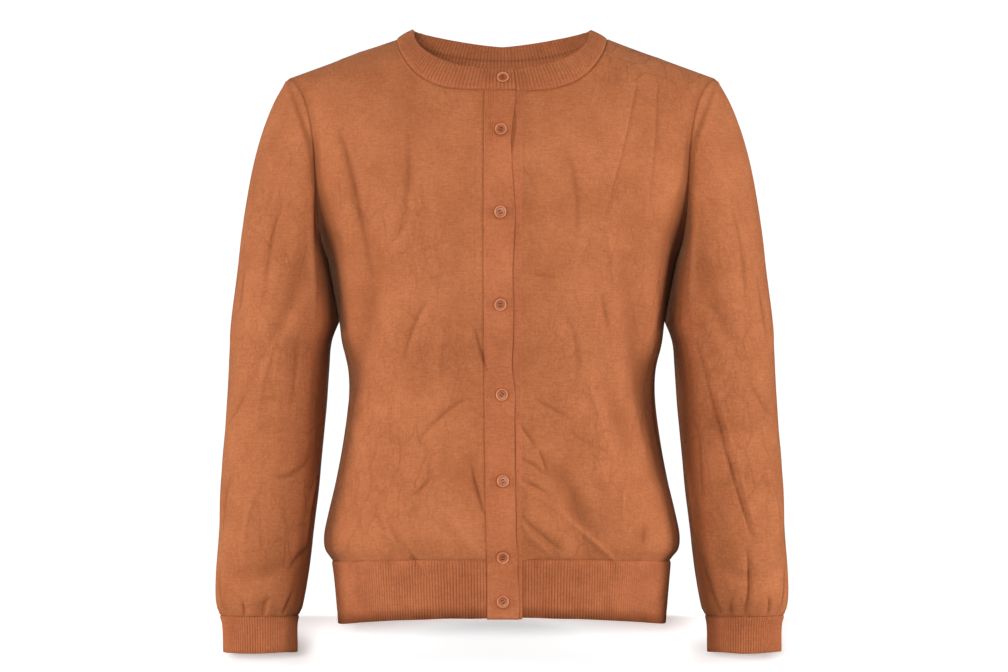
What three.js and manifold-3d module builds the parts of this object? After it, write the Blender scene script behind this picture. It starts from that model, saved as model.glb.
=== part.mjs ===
// A fine-knit, button-front, crew-neck cardigan in its worn, filled-out form, hollow and open
// at the neck, hem and cuffs. Millimetres, +Z up, +X to the wearer's left, front towards -Y.
// The origin lies midway between the shoulder points, where the wearer's shoulders hold it up.
import * as THREE from 'three';
import Module from 'manifold-3d';
import { mergeVertices } from 'three/addons/utils/BufferGeometryUtils.js';

const wasm = await Module();
wasm.setup();

// ---- driving sizes ----
const WALL = 1.6; // knit fabric, as built
const BAND_WALL = 2.0; // folded button bands
const RIB_RAISE = 0.6; // height of a rib over the plain wall
const SEAM_GAP = 0.3; // between pieces that are sewn together
const ARM_SEAM_GAP = 0.44; // the same at the folded armhole seam

const SHOULDER_HALF = 208; // shoulder point from the centre
const SHOULDER_TOP = 2; // height of the shoulder point
const NECK_HALF = 102; // neck seam where it meets the shoulder seam
const NECK_SHOULDER_TOP = 41; // height of that meeting point
const CROWN_RISE = 19; // rise of the ridge line across the open neck
const RIDGE_BACK = 8; // the ridge line lies a little behind the arms' plane
const UNDERARM = -172; // height of the underarm point
const YOKE_SPAN = 250; // nominal length of the form's rows above the underarm
const YOKE_LIFT = 1.25; // how steeply the chest leaves the underarm section
const YOKE_FRONT = 225; // how fully the chest runs back to the ridge
const YOKE_BACK = 165; // the same for the back
const YOKE_SPREAD = 84; // the chest widening towards the shoulder points

const HEM_SEAM = -463; // top of the hem rib
const HEM_EDGE = -523;
const CUFF_SEAM = -515;
const CUFF_EDGE = -549.5;

const BAND_SEAM = 16.5; // outer band's seam, right of centre for the wearer
const BAND_EDGE = 12.5; // outer band's free edge, left of centre
const UNDER_SEAM = 19.4; // under band's seam
const UNDER_EDGE = 11; // under band's free edge, hidden
const LAP = 1.25; // each band's shift from the form, outwards or inwards
const LAP_EASE = 46; // width over which a front eases back to the form

const NECK_SEAM = { front: 89.5, back: 58, middle: 4, frontSquare: 2.9, backSquare: 2.2 };
const NECK_TOP = { half: 86, front: 76, back: 55, frontZ: 7.5, sideZ: 50, backZ: 37.5, round: 2.1, backRise: 1.3 };

const SIDE_ROWS = 12; // rows of the panels below the underarm
const ARM_ROWS = 12; // rows of the panels along the armhole
const NECK_COLUMNS = 7; // columns of a front under the neck seam
const SHOULDER_COLUMNS = 7; // columns under the shoulder seam
const BAND_COLUMNS = 2;
const SIDE_FADE = 1.5; // how fast an armhole's curve fades into a panel's columns
const CAP_ROWS = 6;
const HEM_RIBS = 6; // ribs in each panel column
const NECK_RIBS = 5;
const CUFF_RIBS = 3;

const ROWS = SIDE_ROWS + ARM_ROWS;
const TOP = UNDERARM + YOKE_SPAN; // rise of the ridge line

// ---- the buttoned outer band drifts sideways a little on its way down ----
const BAND_DRIFT = [
  { z: -523, x: 2.4 },
  { z: -463, x: 2.1 },
  { z: -420, x: 1.4 },
  { z: -340, x: 0.2 },
  { z: -240, x: -0.6 },
  { z: -120, x: -0.8 },
  { z: -20, x: 0 },
  { z: 78, x: 0 },
];

// ---- the body's sections: half width, depth to front and back, squareness, front lift ----
const TORSO = [
  { z: -523, side: 157.5, front: 103, back: 103, square: 2.35, lift: 11 },
  { z: -463, side: 162.5, front: 106, back: 106, square: 2.3, lift: 5.5 },
  { z: -452, side: 170, front: 108.6, back: 110, square: 2.3, lift: 5 },
  { z: -440, side: 171.5, front: 110, back: 112, square: 2.3, lift: 4 },
  { z: -425, side: 169, front: 110, back: 111, square: 2.3, lift: 3 },
  { z: -386, side: 160, front: 105, back: 102, square: 2.3, lift: 1 },
  { z: -347, side: 152.8, front: 99, back: 92, square: 2.3, lift: 0 },
  { z: -308, side: 148, front: 98, back: 85, square: 2.3, lift: 0 },
  { z: -280, side: 148.5, front: 102, back: 84, square: 2.3, lift: 0 },
  { z: -252, side: 154.4, front: 110, back: 88, square: 2.3, lift: 0 },
  { z: -232, side: 156.8, front: 114, back: 91, square: 2.3, lift: 0 },
  { z: -202, side: 162, front: 120, back: 96, square: 2.3, lift: 0 },
  { z: -172, side: 168, front: 123, back: 99, square: 2.3, lift: 0 },
];

// ---- the sleeve's sections: inner and outer side, front and back, squareness ----
const SLEEVE = [
  { z: -232, inner: 159.1, outer: 260.5, front: -58.5, back: 48.5, square: 2.1 },
  { z: -242, inner: 162.4, outer: 261.7, front: -59.5, back: 47.5, square: 2.1 },
  { z: -252, inner: 165.2, outer: 262.5, front: -60, back: 47, square: 2.1 },
  { z: -270, inner: 166.8, outer: 263.5, front: -60, back: 45, square: 2.1 },
  { z: -308, inner: 170, outer: 265.5, front: -60, back: 41, square: 2.1 },
  { z: -347, inner: 173.8, outer: 268, front: -60, back: 37, square: 2.1 },
  { z: -386, inner: 176.7, outer: 270.5, front: -60, back: 33, square: 2.1 },
  { z: -425, inner: 180.7, outer: 272.3, front: -60, back: 28, square: 2.1 },
  { z: -464, inner: 185.7, outer: 275, front: -59, back: 23, square: 2.1 },
  { z: -486, inner: 189.3, outer: 275.9, front: -58, back: 20, square: 2.1 },
  { z: -500, inner: 191.8, outer: 275.5, front: -56, back: 18, square: 2.1 },
  { z: -508, inner: 193.6, outer: 274, front: -53, back: 15, square: 2.1 },
  { z: -515, inner: 196.6, outer: 271.6, front: -50, back: 12, square: 2.1 },
  { z: -524, inner: 198.6, outer: 269, front: -48, back: 10, square: 2.1 },
  { z: -549.5, inner: 198.8, outer: 268.4, front: -48, back: 10, square: 2.1 },
];
const UNDER_CAP = -232; // height where the cap ends and the sleeve's own rows begin
const SLEEVE_ROWS = [UNDER_CAP, -250, -280, -316, -352, -388, -422, -452, -478, -498, -508, CUFF_SEAM];

// how the sleeve cap leaves the armhole, from underarm to shoulder point
const CAP_START = { inward: [12, 0, -14], outward: [126, 0, -200], forward: 16 };
const CAP_END = { inward: [-8, 0, -55], outward: [28, 0, -240] };
const ARMHOLE = { front: 30, back: 25, round: 0.52 }; // reach round the body, in degrees

// ---- the largest folds: a curve across the front or back, its width and its height ----
const BODY_FOLDS = [
  { face: 'front', from: [116, -183], bend: [129, -262], to: [150, -378], width: 12, height: -6.1 },
  { face: 'front', from: [-118, -187], bend: [-133, -240], to: [-141, -296], width: 11, height: -5.4 },
  { face: 'front', from: [-97, -283], bend: [-74, -322], to: [-40, -371], width: 10, height: 3.2 },
  { face: 'front', from: [-110, -371], bend: [-92, -412], to: [-63, -455], width: 10, height: 4.1 },
  { face: 'front', from: [-122, -404], bend: [-104, -430], to: [-92, -455], width: 8, height: -3.4 },
  { face: 'front', from: [42, -368], bend: [74, -392], to: [84, -456], width: 12, height: -5.4 },
  { face: 'front', from: [100, -288], bend: [108, -324], to: [122, -362], width: 10, height: -3.5 },
  { face: 'front', from: [24, -404], bend: [40, -424], to: [60, -452], width: 9, height: 4.1 },
  { face: 'back', from: [122, -180], bend: [128, -250], to: [118, -330], width: 13, height: -5.4 },
  { face: 'back', from: [-124, -176], bend: [-130, -255], to: [-116, -340], width: 13, height: -5.4 },
  { face: 'back', from: [-70, -290], bend: [-5, -312], to: [64, -296], width: 13, height: -4.9 },
  { face: 'back', from: [-46, -340], bend: [8, -352], to: [88, -330], width: 11, height: -3.5 },
  { face: 'back', from: [-104, -392], bend: [-74, -420], to: [-58, -455], width: 10, height: 4.1 },
  { face: 'back', from: [96, -386], bend: [84, -420], to: [50, -455], width: 10, height: 4.1 },
];
// on a sleeve, places run from the inner side out: 0 is the inner side, 90 front, 180 outer side
const SLEEVE_FOLDS = [
  { from: [128, -95], bend: [140, -125], to: [134, -160], width: 9, height: -3.2 },
  { from: [60, -170], bend: [80, -215], to: [98, -262], width: 10, height: -3.5 },
  { from: [50, -345], bend: [92, -330], to: [134, -352], width: 11, height: -3.8 },
  { from: [228, -330], bend: [270, -348], to: [318, -326], width: 11, height: -4.1 },
  { from: [60, -468], bend: [96, -486], to: [136, -474], width: 9, height: -3.5 },
  { from: [216, -470], bend: [262, -488], to: [306, -472], width: 9, height: -3.5 },
];

// ---- buttons: name, distance left of centre for the wearer, height, stand over the cloth ----
const BUTTONS = [
  { name: 'button_1', x: 1.0, z: -2.2, stand: 0.35 },
  { name: 'button_2', x: -1.0, z: -51.8, stand: 0.35 },
  { name: 'button_3', x: -1.4, z: -129.7, stand: 0.35 },
  { name: 'button_4', x: -1.4, z: -216.0, stand: 0.35 },
  { name: 'button_5', x: 0.0, z: -301.2, stand: 0.35 },
  { name: 'button_6', x: 1.0, z: -383.5, stand: 0.35 },
  { name: 'button_7', x: 1.0, z: -454.4, stand: 0.75 },
  { name: 'button_8', x: 1.0, z: -496.8, stand: 0.35 },
];
const BUTTON = { radius: 5.75, rim: 2.5, dish: 1.5, bead: 1.1, holeAt: 1.25, hole: 0.62 };
const BUTTON_SIDES = 14;
const HOLE_SIDES = 5;

// ---- materials ----
function cloth(color) {
  return new THREE.MeshStandardMaterial({ color, roughness: 0.9, metalness: 0 });
}
const KNIT = cloth(0xb96c43);
const RIB = cloth(0xb2653d);
const BAND = cloth(0xb4673f);
const GLOSS = new THREE.MeshStandardMaterial({ color: 0xc98a68, roughness: 0.28, metalness: 0 });

// ---- small tools ----
const vec = (x, y, z) => new THREE.Vector3(x, y, z);
const lerp = (a, b, t) => a + (b - a) * t;
const clamp = (t) => Math.min(1, Math.max(0, t));
const degrees = Math.PI / 180;

function smoothstep(t) {
  const c = clamp(t);
  return c * c * (3 - 2 * c);
}

// A smooth curve through one column of a table whose rows run up or down in z.
function section(table, key, z) {
  const rising = table[0].z < table[table.length - 1].z;
  const rows = rising ? table : [...table].reverse();
  const last = rows.length - 1;
  const zc = Math.min(rows[last].z, Math.max(rows[0].z, z));
  let i = 0;
  while (i < last - 1 && rows[i + 1].z < zc) i += 1;
  const slope = (k) => {
    const a = rows[Math.max(0, k - 1)];
    const b = rows[Math.min(last, k + 1)];
    return (b[key] - a[key]) / (b.z - a.z);
  };
  const span = rows[i + 1].z - rows[i].z;
  const t = (zc - rows[i].z) / span;
  return hermite(rows[i][key], slope(i) * span, rows[i + 1][key], slope(i + 1) * span, t);
}

function hermite(a, slopeA, b, slopeB, t) {
  const t2 = t * t;
  const t3 = t2 * t;
  return (2 * t3 - 3 * t2 + 1) * a + (t3 - 2 * t2 + t) * slopeA
    + (3 * t2 - 2 * t3) * b + (t3 - t2) * slopeB;
}

function hermitePoint(a, slopeA, b, slopeB, t) {
  return vec(
    hermite(a.x, slopeA.x, b.x, slopeB.x, t),
    hermite(a.y, slopeA.y, b.y, slopeB.y, t),
    hermite(a.z, slopeA.z, b.z, slopeB.z, t),
  );
}

// The two factors of a squared-off ellipse at an angle.
function squared(angle, square) {
  const c = Math.cos(angle);
  const s = Math.sin(angle);
  const scale = (Math.abs(c) ** square + Math.abs(s) ** square) ** (-1 / square);
  return { across: c * scale, along: s * scale };
}

function bisect(low, high, rises) {
  let a = low;
  let b = high;
  for (let k = 0; k < 46; k += 1) {
    const mid = (a + b) / 2;
    if (rises(mid) > 0) b = mid;
    else a = mid;
  }
  return (a + b) / 2;
}

// The height of a fold's soft ridge or trough at a place on its flat map.
function foldHeight(folds, face, x, z) {
  let height = 0;
  for (const fold of folds) {
    if (fold.face && fold.face !== face) continue;
    let nearest = Infinity;
    let at = 0;
    for (let k = 0; k <= 16; k += 1) {
      const t = k / 16;
      const a = (1 - t) * (1 - t);
      const b = 2 * t * (1 - t);
      const c = t * t;
      const dx = x - (a * fold.from[0] + b * fold.bend[0] + c * fold.to[0]);
      const dz = z - (a * fold.from[1] + b * fold.bend[1] + c * fold.to[1]);
      const distance = Math.hypot(dx, dz);
      if (distance < nearest) {
        nearest = distance;
        at = t;
      }
    }
    const ends = Math.sin(Math.PI * (0.12 + 0.76 * at));
    height += fold.height * ends * Math.exp(-((nearest / fold.width) ** 2));
  }
  return height;
}

// ---- the body's form ----
// angle: 0 at the wearer's left side, -90 degrees at the front, 90 at the back.
// rise: the height up to the underarm, and beyond it the way up over chest and shoulder.
function ridgePoint(across) {
  const x = SHOULDER_HALF * across;
  const reach = Math.abs(x);
  const slope = (NECK_SHOULDER_TOP - SHOULDER_TOP) / (SHOULDER_HALF - NECK_HALF);
  const outer = NECK_SHOULDER_TOP + (NECK_HALF - reach) * slope;
  const inner = NECK_SHOULDER_TOP + CROWN_RISE * (1 - (reach / NECK_HALF) ** 2);
  const z = reach > NECK_HALF ? outer : inner;
  return vec(x, RIDGE_BACK * (1 - reach / SHOULDER_HALF), z);
}

// Below the hem seam the rib runs straight down to the hem edge.
function lowerPoint(angle, z) {
  if (z < HEM_SEAM && z > HEM_EDGE) {
    const part = (z - HEM_EDGE) / (HEM_SEAM - HEM_EDGE);
    return lowerPoint(angle, HEM_EDGE).lerp(lowerPoint(angle, HEM_SEAM), part);
  }
  const { across, along } = squared(angle, section(TORSO, 'square', z));
  const depth = section(TORSO, along < 0 ? 'front' : 'back', z);
  const forward = Math.max(0, -along);
  const lift = section(TORSO, 'lift', z) * forward * forward;
  return vec(section(TORSO, 'side', z) * across, depth * along, z + lift);
}

function formPoint(angle, rise) {
  if (rise <= UNDERARM) return lowerPoint(angle, rise);
  const t = Math.min(1, (rise - UNDERARM) / YOKE_SPAN);
  const start = lowerPoint(angle, UNDERARM);
  const below = lowerPoint(angle, UNDERARM - 1);
  const { across, along } = squared(angle, section(TORSO, 'square', UNDERARM));
  const top = ridgePoint(across);
  const length = YOKE_LIFT * (top.z - start.z);
  const leave = start.clone().sub(below).multiplyScalar(length);
  leave.x += YOKE_SPREAD * across ** 3;
  const full = Math.sqrt(Math.abs(along));
  const arrive = vec(0, along < 0 ? full * YOKE_FRONT : -full * YOKE_BACK, 0);
  return hermitePoint(start, leave, top, arrive, t);
}

function formNormal(angle, rise) {
  const step = 0.002;
  const climb = 0.5;
  const upper = Math.min(rise + climb, TOP);
  const lower = Math.max(upper - 2 * climb, HEM_EDGE);
  const round = formPoint(angle + step, rise).sub(formPoint(angle - step, rise));
  const up = formPoint(angle, upper).sub(formPoint(angle, lower));
  return round.cross(up).normalize();
}

// How far a front stands out, or in, near its seam with the lapped bands.
function lapShift(x, front) {
  if (!front) return 0;
  const seam = x < 0 ? BAND_SEAM : UNDER_SEAM;
  const fade = 1 - smoothstep((Math.abs(x) - seam) / LAP_EASE);
  return (x < 0 ? LAP : -LAP) * fade;
}

function bodyPlace(angle, rise, shift) {
  const base = formPoint(angle, rise);
  const normal = formNormal(angle, rise);
  if (rise >= TOP) normal.add(formNormal(-angle, rise)).normalize();
  const front = Math.sin(angle) < 0;
  const away = shift === undefined ? lapShift(base.x, front) : shift;
  const fold = foldHeight(BODY_FOLDS, front ? 'front' : 'back', base.x, base.z);
  return { point: base.addScaledVector(normal, away + fold), normal };
}

// The angle on the front at which the form is at a given x, at one rise.
function frontAngle(x, rise) {
  return bisect(-Math.PI, 0, (angle) => formPoint(angle, rise).x - x);
}

// Round the neck, turn is 0 at centre front, 90 at the wearer's left shoulder, 180 at the back.
function neckPlan(turn, half, frontDepth, backDepth, front) {
  const square = front ? NECK_SEAM.frontSquare : NECK_SEAM.backSquare;
  const { across, along } = squared((turn - 90) * degrees, square);
  return { x: half * across, y: NECK_SEAM.middle + (front ? frontDepth : backDepth) * along };
}

function neckSeam(turn, front = Math.cos(turn * degrees) > 0) {
  const { x, y } = neckPlan(turn, NECK_HALF, NECK_SEAM.front, NECK_SEAM.back, front);
  const low = front ? -Math.PI : 0;
  const angleAt = (rise) => bisect(low, low + Math.PI, (angle) => {
    const here = formPoint(angle, rise).x - x;
    return front ? here : -here;
  });
  if (Math.abs(y - NECK_SEAM.middle) < 1e-6) return { angle: angleAt(TOP), rise: TOP };
  const rise = bisect(UNDERARM, TOP, (r) => {
    const ahead = formPoint(angleAt(r), r).y - y;
    return front ? ahead : -ahead;
  });
  return { angle: angleAt(rise), rise };
}

// The armhole seam on the wearer's left: part runs 0 to 1 from underarm to shoulder point.
function armSeam(part, front) {
  const reach = (front ? -ARMHOLE.front : ARMHOLE.back) * degrees;
  const swell = Math.sin(Math.PI * part) ** ARMHOLE.round;
  return { angle: reach * swell, rise: UNDERARM + YOKE_SPAN * part };
}

// ---- cloth walls ----
// A wall is two grids joined round their rims. The outer grid may carry ribs between the
// grid's own columns; the inner grid is plain.
function clothWall(rows, columns, closed, ribs, outerAt, innerAt) {
  const fine = ribs ? ribs * 2 : 1;
  const outerCount = columns * fine;
  const outerWidth = closed ? outerCount : outerCount + 1;
  const innerWidth = closed ? columns : columns + 1;
  const positions = [];
  const index = [];
  for (let j = 0; j <= rows; j += 1) {
    for (let i = 0; i < outerWidth; i += 1) positions.push(...outerAt(i / fine, j).toArray());
  }
  const innerStart = positions.length / 3;
  for (let j = 0; j <= rows; j += 1) {
    for (let i = 0; i < innerWidth; i += 1) positions.push(...innerAt(i, j).toArray());
  }
  const outer = (i, j) => j * outerWidth + (closed ? i % outerWidth : i);
  const inner = (i, j) => innerStart + j * innerWidth + (closed ? i % innerWidth : i);
  for (let j = 0; j < rows; j += 1) {
    for (let i = 0; i < outerCount; i += 1) {
      index.push(outer(i, j), outer(i + 1, j), outer(i + 1, j + 1));
      index.push(outer(i, j), outer(i + 1, j + 1), outer(i, j + 1));
    }
    for (let i = 0; i < columns; i += 1) {
      index.push(inner(i, j), inner(i + 1, j + 1), inner(i + 1, j));
      index.push(inner(i, j), inner(i, j + 1), inner(i + 1, j + 1));
    }
  }
  const half = Math.floor(fine / 2);
  for (let i = 0; i < columns; i += 1) {
    for (let m = 0; m < fine; m += 1) {
      const a = i * fine + m;
      const near = m < half ? i : i + 1;
      index.push(outer(a + 1, 0), outer(a, 0), inner(near, 0));
      index.push(outer(a, rows), outer(a + 1, rows), inner(near, rows));
    }
    const b = i * fine + half;
    index.push(inner(i + 1, 0), outer(b, 0), inner(i, 0));
    index.push(inner(i, rows), outer(b, rows), inner(i + 1, rows));
  }
  if (!closed) {
    for (let j = 0; j < rows; j += 1) {
      index.push(outer(0, j), outer(0, j + 1), inner(0, j));
      index.push(inner(0, j), outer(0, j + 1), inner(0, j + 1));
      index.push(outer(outerCount, j + 1), outer(outerCount, j), inner(columns, j));
      index.push(outer(outerCount, j + 1), inner(columns, j), inner(columns, j + 1));
    }
  }
  return facingOut(positions, index);
}

function facingOut(positions, index) {
  let volume = 0;
  const corner = (k) => vec(positions[3 * k], positions[3 * k + 1], positions[3 * k + 2]);
  for (let k = 0; k < index.length; k += 3) {
    const a = corner(index[k]);
    volume += a.dot(corner(index[k + 1]).cross(corner(index[k + 2])));
  }
  const order = volume < 0 ? [...index].reverse() : index;
  const geometry = new THREE.BufferGeometry();
  geometry.setAttribute('position', new THREE.Float32BufferAttribute(positions, 3));
  geometry.setIndex(order);
  geometry.computeVertexNormals();
  return geometry;
}

// Each sewn edge of a piece stops half a seam gap short.
function trimEdges(grid, trims) {
  const rows = grid.length - 1;
  const columns = grid[0].length - 1;
  const shifts = [];
  const pull = (place, towards, gap) => {
    const shift = towards.point.clone().sub(place.point).setLength(gap / 2);
    shifts.push([place, shift]);
  };
  for (let j = 0; j <= rows; j += 1) {
    const sideGap = (name) => (typeof trims[name] === 'function' ? trims[name](j) : trims[name]);
    if (trims.start) pull(grid[j][0], grid[j][1], sideGap('start'));
    if (trims.end) pull(grid[j][columns], grid[j][columns - 1], sideGap('end'));
  }
  for (let i = 0; i <= columns; i += 1) {
    if (trims.bottom) pull(grid[0][i], grid[1][i], trims.bottom);
    if (trims.top) pull(grid[rows][i], grid[rows - 1][i], trims.top);
  }
  for (const [place, shift] of shifts) place.point.add(shift);
}

// grid[row][column] holds the middle of the cloth and its outward direction.
function sewPiece(name, material, grid, { closed = false, ribs = 0, wall = WALL } = {}) {
  const rows = grid.length - 1;
  const columns = closed ? grid[0].length : grid[0].length - 1;
  const at = (i, j) => grid[j][closed ? i % columns : i];
  const outerAt = (i, j) => {
    const left = Math.floor(i + 1e-9);
    const part = i - left;
    const a = at(left, j);
    if (part < 1e-9) return a.point.clone().addScaledVector(a.normal, wall / 2);
    const b = at(left + 1, j);
    const point = a.point.clone().lerp(b.point, part);
    const normal = a.normal.clone().lerp(b.normal, part);
    const onRidge = Math.round(part * ribs * 2) % 2 === 1;
    return point.addScaledVector(normal, wall / 2 + (onRidge ? RIB_RAISE : 0));
  };
  const innerAt = (i, j) => at(i, j).point.clone().addScaledVector(at(i, j).normal, -wall / 2);
  const mesh = new THREE.Mesh(clothWall(rows, columns, closed, ribs, outerAt, innerAt), material);
  mesh.name = name;
  return mesh;
}

function level(normal) {
  return vec(normal.x, normal.y, 0).normalize();
}

// ---- seams shared by neighbouring pieces ----
// Along the armhole both the body and the sleeve end on the mean of their two directions.
const armPlaces = [];

function sleeveRing(z, j) {
  const turn = (j / (2 * ARM_ROWS)) * 2 * Math.PI;
  const { across, along } = squared(turn, section(SLEEVE, 'square', z));
  const inner = section(SLEEVE, 'inner', z);
  const outer = section(SLEEVE, 'outer', z);
  const front = section(SLEEVE, 'front', z);
  const back = section(SLEEVE, 'back', z);
  const x = (inner + outer) / 2 - ((outer - inner) / 2) * across;
  const y = (front + back) / 2 - ((back - front) / 2) * along;
  return vec(x, y, z);
}

function capSlopes(j) {
  const turn = (j / (2 * ARM_ROWS)) * 2 * Math.PI;
  const w = (1 - Math.cos(turn)) / 2;
  const mix = (a, b) => vec(lerp(a[0], b[0], w), lerp(a[1], b[1], w), lerp(a[2], b[2], w));
  const leave = mix(CAP_START.inward, CAP_START.outward);
  leave.y -= CAP_START.forward * Math.sin(turn);
  return { leave, arrive: mix(CAP_END.inward, CAP_END.outward) };
}

for (let j = 0; j < 2 * ARM_ROWS; j += 1) {
  const front = j <= ARM_ROWS;
  const part = front ? j / ARM_ROWS : (2 * ARM_ROWS - j) / ARM_ROWS;
  const seam = armSeam(part, front);
  armPlaces.push(bodyPlace(seam.angle, seam.rise, 0));
}
const armPoints = armPlaces.map((place) => place.point.clone());
armPlaces.forEach((place, j) => {
  const count = armPlaces.length;
  const along = armPoints[(j + 1) % count].clone().sub(armPoints[(j + count - 1) % count]);
  const outward = capSlopes(j).leave.clone().cross(along).normalize();
  const mean = place.normal.clone().add(outward);
  const miter = Math.min(1.5, 2 / mean.length());
  place.normal = mean.normalize().multiplyScalar(miter);
});

// ---- the panels ----
const frontParts = [];
const backTurns = [];
for (let i = 0; i <= NECK_COLUMNS; i += 1) frontParts.push(i / NECK_COLUMNS);
for (let i = 0; i <= 2 * NECK_COLUMNS; i += 1) backTurns.push(90 + (i / (2 * NECK_COLUMNS)) * 180);

// A patch of the form between four edges, each a list of { angle, rise }. It is ruled from
// bottom to top, and each side edge's own shape fades out over the shoulder's columns.
function patch(bottom, top, start, end) {
  const rows = start.length - 1;
  const columns = bottom.length - 1;
  const fade = (i) => Math.max(0, 1 - i / SHOULDER_COLUMNS) ** SIDE_FADE;
  const blend = (key, i, j) => {
    const ruled = (k) => lerp(bottom[k][key], top[k][key], j / rows);
    return ruled(i) + fade(i) * (start[j][key] - ruled(0))
      + fade(columns - i) * (end[j][key] - ruled(columns));
  };
  const grid = [];
  for (let j = 0; j <= rows; j += 1) {
    const row = [];
    for (let i = 0; i <= columns; i += 1) {
      row.push({ angle: blend('angle', i, j), rise: blend('rise', i, j) });
    }
    grid.push(row);
  }
  return grid;
}

function sideEdge(front) {
  const edge = [];
  for (let j = 0; j < SIDE_ROWS; j += 1) {
    edge.push({ angle: 0, rise: lerp(HEM_SEAM, UNDERARM, j / SIDE_ROWS) });
  }
  for (let j = 0; j <= ARM_ROWS; j += 1) edge.push(armSeam(j / ARM_ROWS, front));
  return edge;
}

function seamTurn(x) {
  const size = bisect(0, 60, (turn) => {
    return neckPlan(turn, NECK_HALF, NECK_SEAM.front, NECK_SEAM.back, true).x - Math.abs(x);
  });
  return Math.sign(x) * size;
}

// A front on the wearer's left, from the band's seam to the side; mirrored for the right.
function frontPatch(neckX, seamAt) {
  const first = seamTurn(neckX);
  const neckStart = neckSeam(first);
  const start = [];
  for (let j = 0; j <= ROWS; j += 1) {
    const rise = lerp(HEM_SEAM, neckStart.rise, j / ROWS);
    start.push({ angle: frontAngle(seamAt(rise), rise), rise });
  }
  const bottom = [];
  const top = [];
  const columns = NECK_COLUMNS + SHOULDER_COLUMNS;
  for (let i = 0; i <= columns; i += 1) {
    bottom.push({ angle: lerp(start[0].angle, 0, i / columns), rise: HEM_SEAM });
  }
  for (const part of frontParts) top.push(neckSeam(lerp(first, 90, part)));
  const neckEnd = top[NECK_COLUMNS].angle;
  for (let i = 1; i <= SHOULDER_COLUMNS; i += 1) {
    top.push({ angle: shoulderAngle(i / SHOULDER_COLUMNS, neckEnd), rise: TOP });
  }
  return patch(bottom, top, start, sideEdge(true));
}

// Even steps along the shoulder seam from the neck to the shoulder point.
function shoulderAngle(part, neckAngle) {
  if (part >= 1) return 0;
  const x = lerp(NECK_HALF, SHOULDER_HALF, part);
  const sign = Math.sign(neckAngle);
  const size = bisect(0, Math.abs(neckAngle) + 0.01, (a) => x - formPoint(sign * a, TOP).x);
  return sign * size;
}

// The back, from the wearer's left side seam round to the right one.
function backPatch() {
  const top = backTurns.map((turn) => neckSeam(turn, false));
  const neckEnd = top[0].angle;
  const left = [];
  for (let i = 0; i < SHOULDER_COLUMNS; i += 1) {
    left.push({ angle: shoulderAngle(1 - i / SHOULDER_COLUMNS, neckEnd), rise: TOP });
  }
  const right = [...left].reverse().map((p) => ({ angle: Math.PI - p.angle, rise: p.rise }));
  const full = [...left, ...top, ...right];
  const bottom = full.map((p, i) => ({ angle: (Math.PI * i) / (full.length - 1), rise: HEM_SEAM }));
  const start = sideEdge(false);
  const end = start.map((p) => ({ angle: Math.PI - p.angle, rise: p.rise }));
  return patch(bottom, full, start, end);
}

function mirrored(angle) {
  return Math.PI - angle;
}

function placesOf(grid, mirror) {
  return grid.map((row) => row.map(({ angle, rise }) => {
    return bodyPlace(mirror ? mirrored(angle) : angle, rise);
  }));
}

function flip(vector) {
  return vec(-vector.x, vector.y, vector.z);
}

// Sets a panel's armhole edge to the directions that it shares with the sleeve.
function shareArmSeam(places, column, front, mirror) {
  for (let j = 0; j <= ARM_ROWS; j += 1) {
    const shared = armPlaces[front ? j : (2 * ARM_ROWS - j) % (2 * ARM_ROWS)];
    const place = places[SIDE_ROWS + j][column];
    place.normal = mirror ? flip(shared.normal) : shared.normal.clone();
  }
}

function shareHemSeam(places) {
  for (const place of places[0]) place.normal = level(place.normal);
}

// ---- the neckband ----
const rightTurns = frontParts.map((part) => lerp(seamTurn(BAND_SEAM), 90, part));
const leftTurns = frontParts.map((part) => lerp(seamTurn(UNDER_SEAM), 90, part));
const neckStops = [];
for (let i = 0; i < BAND_COLUMNS; i += 1) {
  neckStops.push({ turn: lerp(seamTurn(BAND_EDGE), -seamTurn(BAND_SEAM), i / BAND_COLUMNS), shift: LAP });
}
for (const turn of rightTurns) neckStops.push({ turn: -turn });
for (const turn of backTurns.slice(1).reverse().slice(1)) neckStops.push({ turn });
for (const turn of [...leftTurns].reverse()) neckStops.push({ turn });
for (let i = 1; i <= BAND_COLUMNS; i += 1) {
  const turn = lerp(seamTurn(UNDER_SEAM), -seamTurn(UNDER_EDGE), i / BAND_COLUMNS);
  neckStops.push({ turn, shift: -LAP });
}

function neckPlace(stop) {
  const { angle, rise } = neckSeam(Math.abs(stop.turn));
  return bodyPlace(stop.turn < 0 ? mirrored(angle) : angle, rise, stop.shift);
}

function neckTopPoint(turn, shift) {
  const front = Math.cos(turn * degrees) > 0;
  const { half, front: ahead, back: behind, round, backRise } = NECK_TOP;
  const { x, y } = neckPlan(turn, half + shift, ahead + shift, behind + shift, front);
  const reach = Math.min(1, Math.abs(x) / (half + shift));
  const side = front ? 1 - (1 - reach ** round) ** (1 / round) : reach ** backRise;
  return vec(x, y, lerp(front ? NECK_TOP.frontZ : NECK_TOP.backZ, NECK_TOP.sideZ, side));
}

const neckGrid = [[], []];
const neckSeamNormals = [];
for (const stop of neckStops) {
  const low = neckPlace(stop);
  const shift = stop.shift === undefined
    ? lapShift(low.point.x, low.point.y < NECK_SEAM.middle)
    : stop.shift;
  neckGrid[0].push(low);
  neckGrid[1].push({ point: neckTopPoint(stop.turn, shift), normal: null });
}
neckGrid[1].forEach((high, i) => {
  const last = neckGrid[1].length - 1;
  const before = neckGrid[1][Math.max(0, i - 1)].point;
  const after = neckGrid[1][Math.min(last, i + 1)].point;
  const along = after.clone().sub(before);
  const up = high.point.clone().sub(neckGrid[0][i].point);
  high.normal = up.cross(along).normalize();
  const low = neckGrid[0][i];
  low.normal = low.normal.clone().add(high.normal).normalize();
  neckSeamNormals.push(low.normal.clone());
});

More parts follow.
